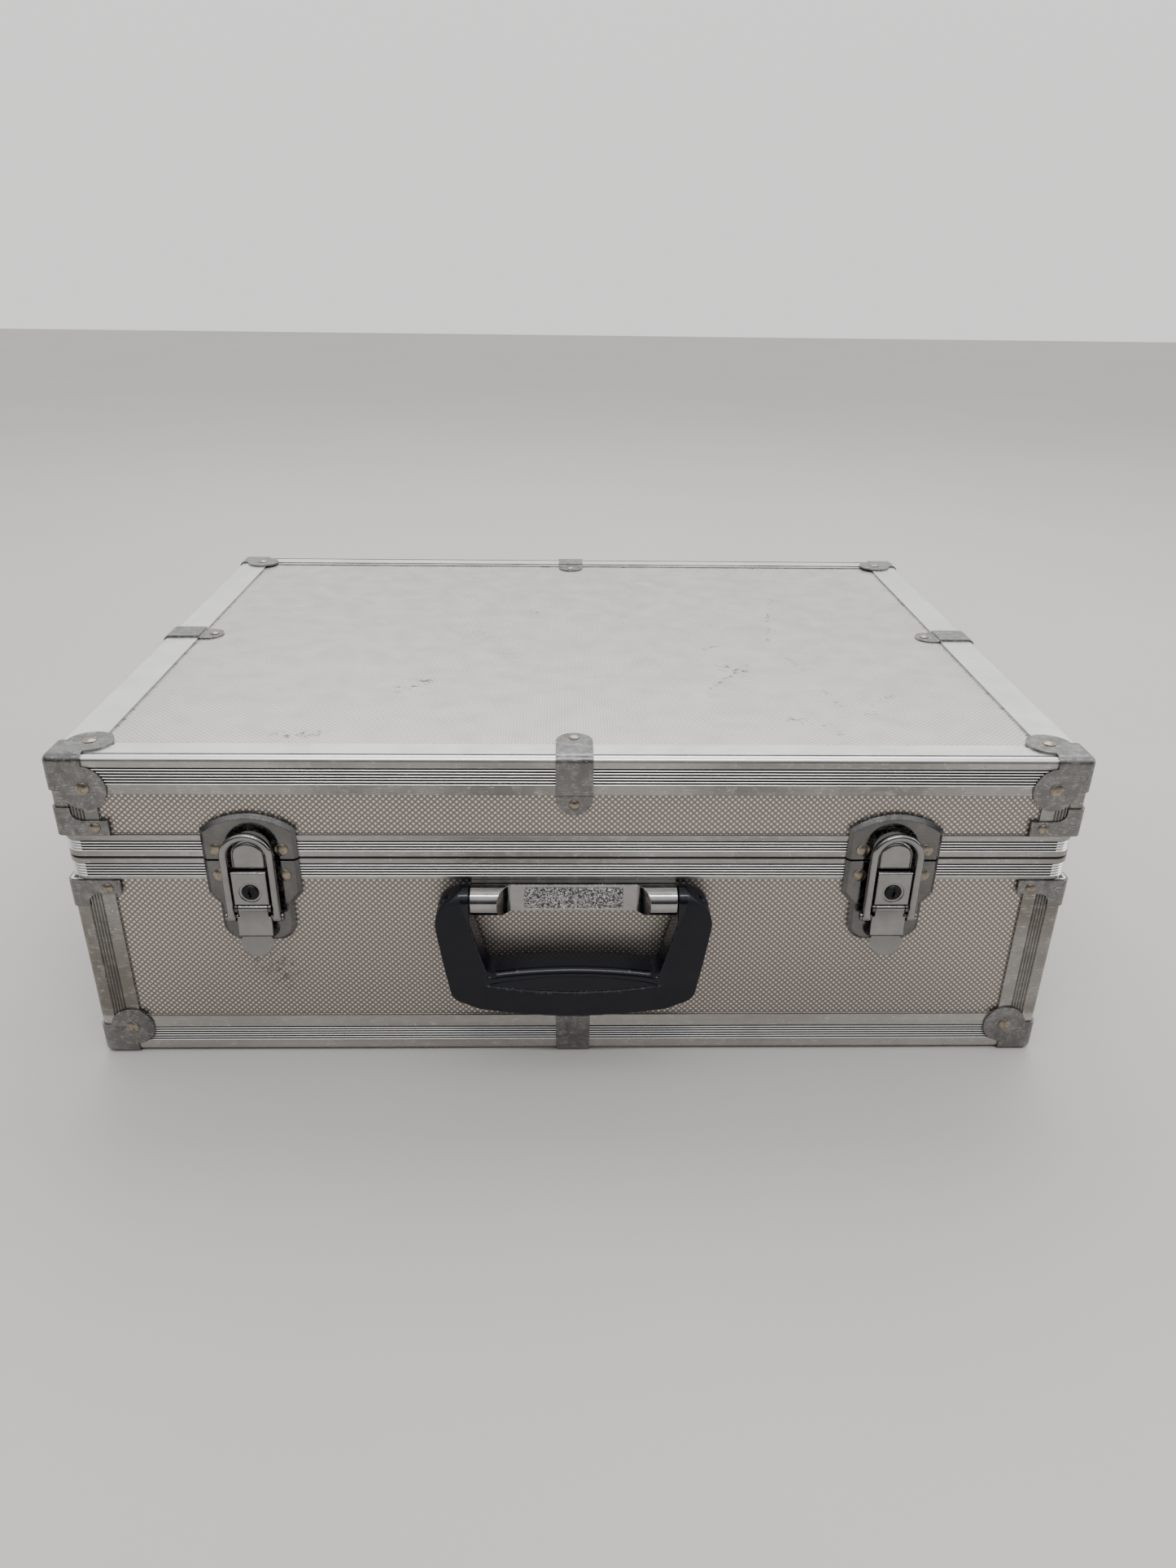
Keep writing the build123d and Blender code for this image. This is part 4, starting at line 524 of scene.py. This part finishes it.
# ---------------------------------------------------------------- dimpled panels

PITCH = 1.4142  # of the grid, where every other point is a dot, so that the dots' rows run at 45 degrees
DOT_H = 0.36
LOWEST_DOT = 0.82  # as a share of the highest


def dimple_grid(points, faces, dots, origin, across, up, normal, size):
    """Append one dimpled sheet: a square grid in which every other point is raised."""
    columns, rows = (int(round(length / PITCH)) + 1 for length in size)
    first = len(points)
    steps = np.array([size[0] / (columns - 1), size[1] / (rows - 1)])
    i, j = np.meshgrid(np.arange(columns), np.arange(rows))
    raised = ((i + j) % 2 == 0).astype(float)
    wobble = np.random.default_rng(columns * rows).uniform(LOWEST_DOT, 1.0, raised.shape)
    place = (
        np.array(origin)
        + (i * steps[0])[..., None] * np.array(across)
        + (j * steps[1])[..., None] * np.array(up)
        + (raised * wobble * DOT_H)[..., None] * np.array(normal)
    )
    points.extend((place * MM).reshape(-1, 3).tolist())
    dots.extend(raised.ravel().tolist())
    corner = (first + j[:-1, :-1] * columns + i[:-1, :-1]).ravel()
    is_raised = raised[:-1, :-1].ravel() > 0.5
    a, b, c, d = corner, corner + 1, corner + columns + 1, corner + columns
    for lit, p, q, r, s in zip(is_raised.tolist(), a.tolist(), b.tolist(), c.tolist(), d.tolist()):
        if lit:
            faces.append((p, q, s))
            faces.append((q, r, s))
        else:
            faces.append((p, q, r))
            faces.append((p, r, s))


def dimpled_panel(name, body, node, sheet, windows):
    """One object for the dimpled sheets that stand for one CAD skin node."""
    points, faces, dots = [], [], []
    for window in windows:
        dimple_grid(points, faces, dots, *window)
    mesh = bpy.data.meshes.new(name)
    mesh.from_pydata(points, [], faces)
    mesh.attributes.new("dot", "FLOAT", "POINT").data.foreach_set("value", dots)
    mesh.polygons.foreach_set("use_smooth", [True] * len(mesh.polygons))
    mesh.materials.append(sheet)
    panel = bpy.data.objects.new(name, mesh)
    bpy.context.scene.collection.objects.link(panel)
    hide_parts(node)
    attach(panel, body)


POST_BAND = 19.3  # how much of a wall each corner post covers
TOP_SIDE_BAND, TOP_FRONT_BAND = 19.0, 16.0  # how much of the top the rails cover
BASE_FREE_Z, LID_FREE_Z = (22.0, 99.6), (122.5, 142.9)  # where the walls lie free between rail and rim
UNDER = 1.5  # how far a sheet runs in under the rails
HALF_W, HALF_D = (size / 2 - POST_BAND + UNDER for size in (WIDTH, DEPTH))
TOP_HALF_W = WIDTH / 2 - TOP_SIDE_BAND + UNDER
TOP_HALF_D = DEPTH / 2 - TOP_FRONT_BAND + UNDER


def wall_windows(free_z, long_walls):
    """The sheets on two opposite walls, each as its origin, across, up, outward and size."""
    up = (0, 0, 1)
    low, high = free_z[0] - UNDER, free_z[1] + UNDER
    if long_walls:
        size = (2 * HALF_W, high - low)
        return [
            ((-HALF_W, FRONT_Y + SKIN_OUT, low), (1, 0, 0), up, (0, -1, 0), size),
            ((HALF_W, REAR_Y - SKIN_OUT, low), (-1, 0, 0), up, (0, 1, 0), size),
        ]
    side = WIDTH / 2 - SKIN_OUT
    size = (2 * HALF_D, high - low)
    return [
        ((-side, CASE_Y + HALF_D, low), (0, -1, 0), up, (-1, 0, 0), size),
        ((side, CASE_Y - HALF_D, low), (0, 1, 0), up, (1, 0, 0), size),
    ]


def top_window():
    """The sheet on the lid's top."""
    corner = (-TOP_HALF_W, CASE_Y - TOP_HALF_D, TOP_Z - SKIN_OUT)
    return (corner, (1, 0, 0), (0, 1, 0), (0, 0, 1), (2 * TOP_HALF_W, 2 * TOP_HALF_D))


for part, free_z in (("base", BASE_FREE_Z), ("lid", LID_FREE_Z)):
    for walls in ("long", "side"):
        windows = wall_windows(free_z, walls == "long")
        dimpled_panel(f"{part}_{walls}_dimples", part, f"{part}_{walls}_skins", shaded_wall_sheet, windows)
dimpled_panel("lid_top_dimples", "lid", "lid_top_skin", lit_top_sheet, [top_window()])


# ---------------------------------------------------------------- grip and foam


def soft_copy(name, node, voxel, rounds, factor):
    """A copy of a CAD node with its edges rounded, as a moulding has them."""
    piece = bpy.data.objects.new(name, nodes[node].data.copy())
    bpy.context.scene.collection.objects.link(piece)
    piece.data.materials.clear()
    bpy.context.view_layer.objects.active = piece
    remesh = piece.modifiers.new("remesh", "REMESH")
    remesh.mode = "VOXEL"
    remesh.voxel_size = voxel
    smooth = piece.modifiers.new("smooth", "SMOOTH")
    smooth.iterations = rounds
    smooth.factor = factor
    shown = bpy.context.evaluated_depsgraph_get()
    shown.update()
    mesh = bpy.data.meshes.new_from_object(piece.evaluated_get(shown))
    piece.modifiers.clear()
    piece.data = mesh
    mesh.polygons.foreach_set("use_smooth", [True] * len(mesh.polygons))
    return piece


# The grip's front face, and its inner edge: half its length, its height at the ends and its bow.
GRIP_FACE_Y = FRONT_Y - 17.0
INNER_HALF, GRIP_EDGE_Z, GRIP_BOW = 39.6, 57.8, 3.2
OPENING_TOP_HALF, OPENING_TOP_Z = 47.35, 84.0
VOXEL, SMOOTH_ROUNDS, SMOOTH_SHARE = 0.55, 6, 0.5
RIDGE_R, RIDGE_PAST_END = 3.4, 4.0
CREASE_HALF, CREASE_END_Z, CREASE_DROP, CREASE_W, CREASE_DEEP = 42.0, 52.0, 4.3, 0.7, 0.25
FRONT_DEEP = 2.5  # a point this close to the front face counts as on it
POLISH_BELOW, POLISH_BESIDE, POLISH_ABOVE = 3.0, 0.8, 1.0  # how far it runs past opening and scoop


def bow(x, half, rise):
    """The height of a shallow arch over its ends."""
    return rise * max(0.0, 1 - (x / half) ** 2)


def round_ridge(y, z, edge_z):
    """Bring a point near the grip's inner front edge onto a rounded ridge."""
    out, down = y - GRIP_FACE_Y, edge_z - z
    if 0 <= out < RIDGE_R and 0 <= down < RIDGE_R:
        across, below = RIDGE_R - out, RIDGE_R - down
        reach = math.hypot(across, below)
        if reach > RIDGE_R:
            y = GRIP_FACE_Y + RIDGE_R - across * RIDGE_R / reach
            z = edge_z - RIDGE_R + below * RIDGE_R / reach
    return y, z


def grip_moulding():
    """The grip with soft edges, a rounded inner ridge and a crease below its polished scoop."""
    piece = soft_copy("grip_moulding", "handle_grip", VOXEL * MM, SMOOTH_ROUNDS, SMOOTH_SHARE)
    polish, creases = [], []
    for vertex in piece.data.vertices:
        x, y, z = (value / MM for value in vertex.co)
        edge_z = GRIP_EDGE_Z + bow(x, INNER_HALF, GRIP_BOW)
        crease_z = CREASE_END_Z - bow(x, CREASE_HALF, CREASE_DROP)
        on_crease = y < GRIP_FACE_Y + FRONT_DEEP and abs(x) < CREASE_HALF
        crease = math.exp(-(((z - crease_z) / CREASE_W) ** 2)) if on_crease else 0.0
        if abs(x) < INNER_HALF + RIDGE_PAST_END:
            y, z = round_ridge(y, z, edge_z)
        widening = (OPENING_TOP_HALF - INNER_HALF) / (OPENING_TOP_Z - GRIP_EDGE_Z)
        inner_x = INNER_HALF + (z - GRIP_EDGE_Z) * widening
        in_opening = z > GRIP_EDGE_Z - POLISH_BELOW and abs(x) < inner_x + POLISH_BESIDE
        in_scoop = on_crease and crease_z < z < edge_z + POLISH_ABOVE
        polish.append(1.0 if in_opening or in_scoop else 0.0)
        creases.append(crease)
        vertex.co = Vector((x, y + CREASE_DEEP * crease, z)) * MM
    piece.data.attributes.new("polished", "FLOAT", "POINT").data.foreach_set("value", polish)
    piece.data.attributes.new("crease", "FLOAT", "POINT").data.foreach_set("value", creases)
    piece.data.materials.append(plastic)
    return piece


grip = grip_moulding()
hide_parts("handle_grip")
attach(grip, "grip")


FOAM_INSET, FOAM_STEP, FOAM_PITCH = 1.0, 3.0, 30.0
PEAK_H, PEAK_GAP, BACK_GAP = 11.0, 0.6, 0.3  # the peaks' height, and the room below them and behind
EDGE_ROUND_H, EDGE_ROUND_W = 3.0, 2.0


def egg_crate():
    """The lid's convoluted foam: rows of rounded peaks that face the chips."""
    low, high = (np.array(corner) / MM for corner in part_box("lid_foam"))
    size = high - low - 2 * FOAM_INSET
    columns, rows = int(size[0] / FOAM_STEP) + 1, int(size[1] / FOAM_STEP) + 1
    xs = np.linspace(low[0] + FOAM_INSET, high[0] - FOAM_INSET, columns)
    ys = np.linspace(low[1] + FOAM_INSET, high[1] - FOAM_INSET, rows)
    x, y = np.meshgrid(xs, ys)
    across = np.cos(2 * np.pi * x / FOAM_PITCH)
    along = np.cos(2 * np.pi * (y - CASE_Y) / FOAM_PITCH)
    waves = 0.5 - 0.25 * (across + along)
    edge = np.minimum(np.minimum(x - xs[0], xs[-1] - x), np.minimum(y - ys[0], ys[-1] - y))
    round_off = EDGE_ROUND_H * np.exp(-edge / EDGE_ROUND_W)
    z = low[2] + PEAK_GAP + PEAK_H * waves + round_off
    grid = np.stack([x, y, z], axis=-1).reshape(-1, 3) * MM
    back = np.stack([x, y, np.full_like(z, high[2] - BACK_GAP)], axis=-1).reshape(-1, 3) * MM
    points = np.concatenate([grid, back]).tolist()
    total = columns * rows
    faces = []
    for j in range(rows - 1):
        for i in range(columns - 1):
            a = j * columns + i
            b, c, d = a + 1, a + columns + 1, a + columns
            faces.append((a, d, c, b))
            faces.append((total + a, total + b, total + c, total + d))
    rim = list(range(columns)) + [j * columns + columns - 1 for j in range(1, rows)]
    rim += [(rows - 1) * columns + i for i in range(columns - 2, -1, -1)]
    rim += [j * columns for j in range(rows - 2, 0, -1)]
    for a, b in zip(rim, rim[1:] + rim[:1]):
        faces.append((a, b, total + b, total + a))
    mesh = bpy.data.meshes.new("lid_egg_crate")
    mesh.from_pydata(points, [], faces)
    mesh.polygons.foreach_set("use_smooth", [True] * len(mesh.polygons))
    mesh.materials.append(foam_pile)
    piece = bpy.data.objects.new("lid_egg_crate", mesh)
    bpy.context.scene.collection.objects.link(piece)
    return piece


foam = egg_crate()
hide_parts("lid_foam")
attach(foam, "lid")


# ---------------------------------------------------------------- floor, light and camera


def studio_floor():
    """A pale, slightly uneven matt floor."""
    mesh = bpy.data.meshes.new("floor")
    left, right, near, far = -4, 4, -3, 5
    corners = [(left, near, 0), (right, near, 0), (right, far, 0), (left, far, 0)]
    mesh.from_pydata(corners, [], [(0, 1, 2, 3)])
    m = Material("floor_paint")
    cloud = m.noise(3.0, 5.0, 0.6)
    color = m.mix(cloud, linear(188, 185, 181), linear(198, 195, 191))
    mesh.materials.append(m.finish(color, 0.0, 0.75, m.bump(m.noise(300.0, 4.0), 0.2 * MM, 0.2)))
    floor = bpy.data.objects.new("floor", mesh)
    bpy.context.scene.collection.objects.link(floor)


def soft_box(name, place, target, size, power, color=(1, 1, 1)):
    """A rectangular lamp that faces a point."""
    lamp = bpy.data.lights.new(name, "AREA")
    lamp.shape = "RECTANGLE"
    lamp.size, lamp.size_y = size
    lamp.energy = power
    lamp.color = color
    holder = bpy.data.objects.new(name, lamp)
    holder.location = place
    holder.rotation_euler = (Vector(target) - Vector(place)).to_track_quat("-Z", "Y").to_euler()
    bpy.context.scene.collection.objects.link(holder)


def room():
    """A soft surrounding: pale behind and overhead, dimmer in front, with a dark band low down."""
    world = bpy.data.worlds.new("room")
    bpy.context.scene.world = world
    world.use_nodes = True
    sky = NodeTree(world.node_tree)
    _, y, z = sky.separate(sky.add("ShaderNodeTexCoord").outputs["Generated"])
    half_turned = sky.math("ADD", sky.math("MULTIPLY", y, 0.5), 0.5)
    behind = sky.ramp(half_turned, (0.38, 0.0), (0.62, 1.0))
    front = sky.ramp(
        z,
        (0.0, (0.30, 0.29, 0.28, 1.0)),
        (0.02, (0.10, 0.075, 0.06, 1.0)),
        (0.26, (0.10, 0.10, 0.115, 1.0)),
        (0.42, (0.42, 0.43, 0.46, 1.0)),
        (0.70, (1.50, 1.51, 1.53, 1.0)),
    )
    back = sky.ramp(z, (0.0, (1.42, 1.41, 1.39, 1.0)), (0.5, (1.50, 1.50, 1.49, 1.0)))
    background = sky.tree.nodes["Background"]
    sky.feed(background.inputs["Color"], sky.mix(behind, front, back))
    sky.feed(background.inputs["Strength"], 0.8)


CAMERA_AT = Vector((-5.08, -595.6, 359.4)) * MM
PITCH_DOWN, YAW, ROLL = (math.radians(angle) for angle in (26.093, -1.470, -0.779))
LENS, SENSOR = 24.959, 36.0


def photo_camera():
    """The camera at the photograph's angle."""
    ahead = Vector((-math.sin(YAW), math.cos(YAW), 0))
    level = Vector((math.cos(YAW), math.sin(YAW), 0))
    view = math.cos(PITCH_DOWN) * ahead - math.sin(PITCH_DOWN) * Vector((0, 0, 1))
    above = math.sin(PITCH_DOWN) * ahead + math.cos(PITCH_DOWN) * Vector((0, 0, 1))
    right = math.cos(ROLL) * level - math.sin(ROLL) * above
    up = math.sin(ROLL) * level + math.cos(ROLL) * above
    turn = Matrix((right, up, -view)).transposed().to_4x4()
    data = bpy.data.cameras.new("camera")
    data.sensor_width = SENSOR
    data.lens = LENS
    data.clip_start, data.clip_end = 0.01, 50.0
    camera = bpy.data.objects.new("camera", data)
    camera.matrix_world = Matrix.Translation(CAMERA_AT) @ turn
    bpy.context.scene.collection.objects.link(camera)
    bpy.context.scene.camera = camera


studio_floor()
room()
MIDDLE = (0, 0, 0.08)
soft_box("overhead", (0.1, 0.85, 1.5), MIDDLE, (1.8, 1.0), 20.0)
soft_box("front_strip", (0.0, -0.95, 1.6), MIDDLE, (1.3, 0.07), 10.0, (1.0, 0.98, 0.95))
soft_box("right_rim", (1.7, -0.3, 0.8), MIDDLE, (0.6, 1.0), 4.0, (0.93, 0.96, 1.0))
photo_camera()
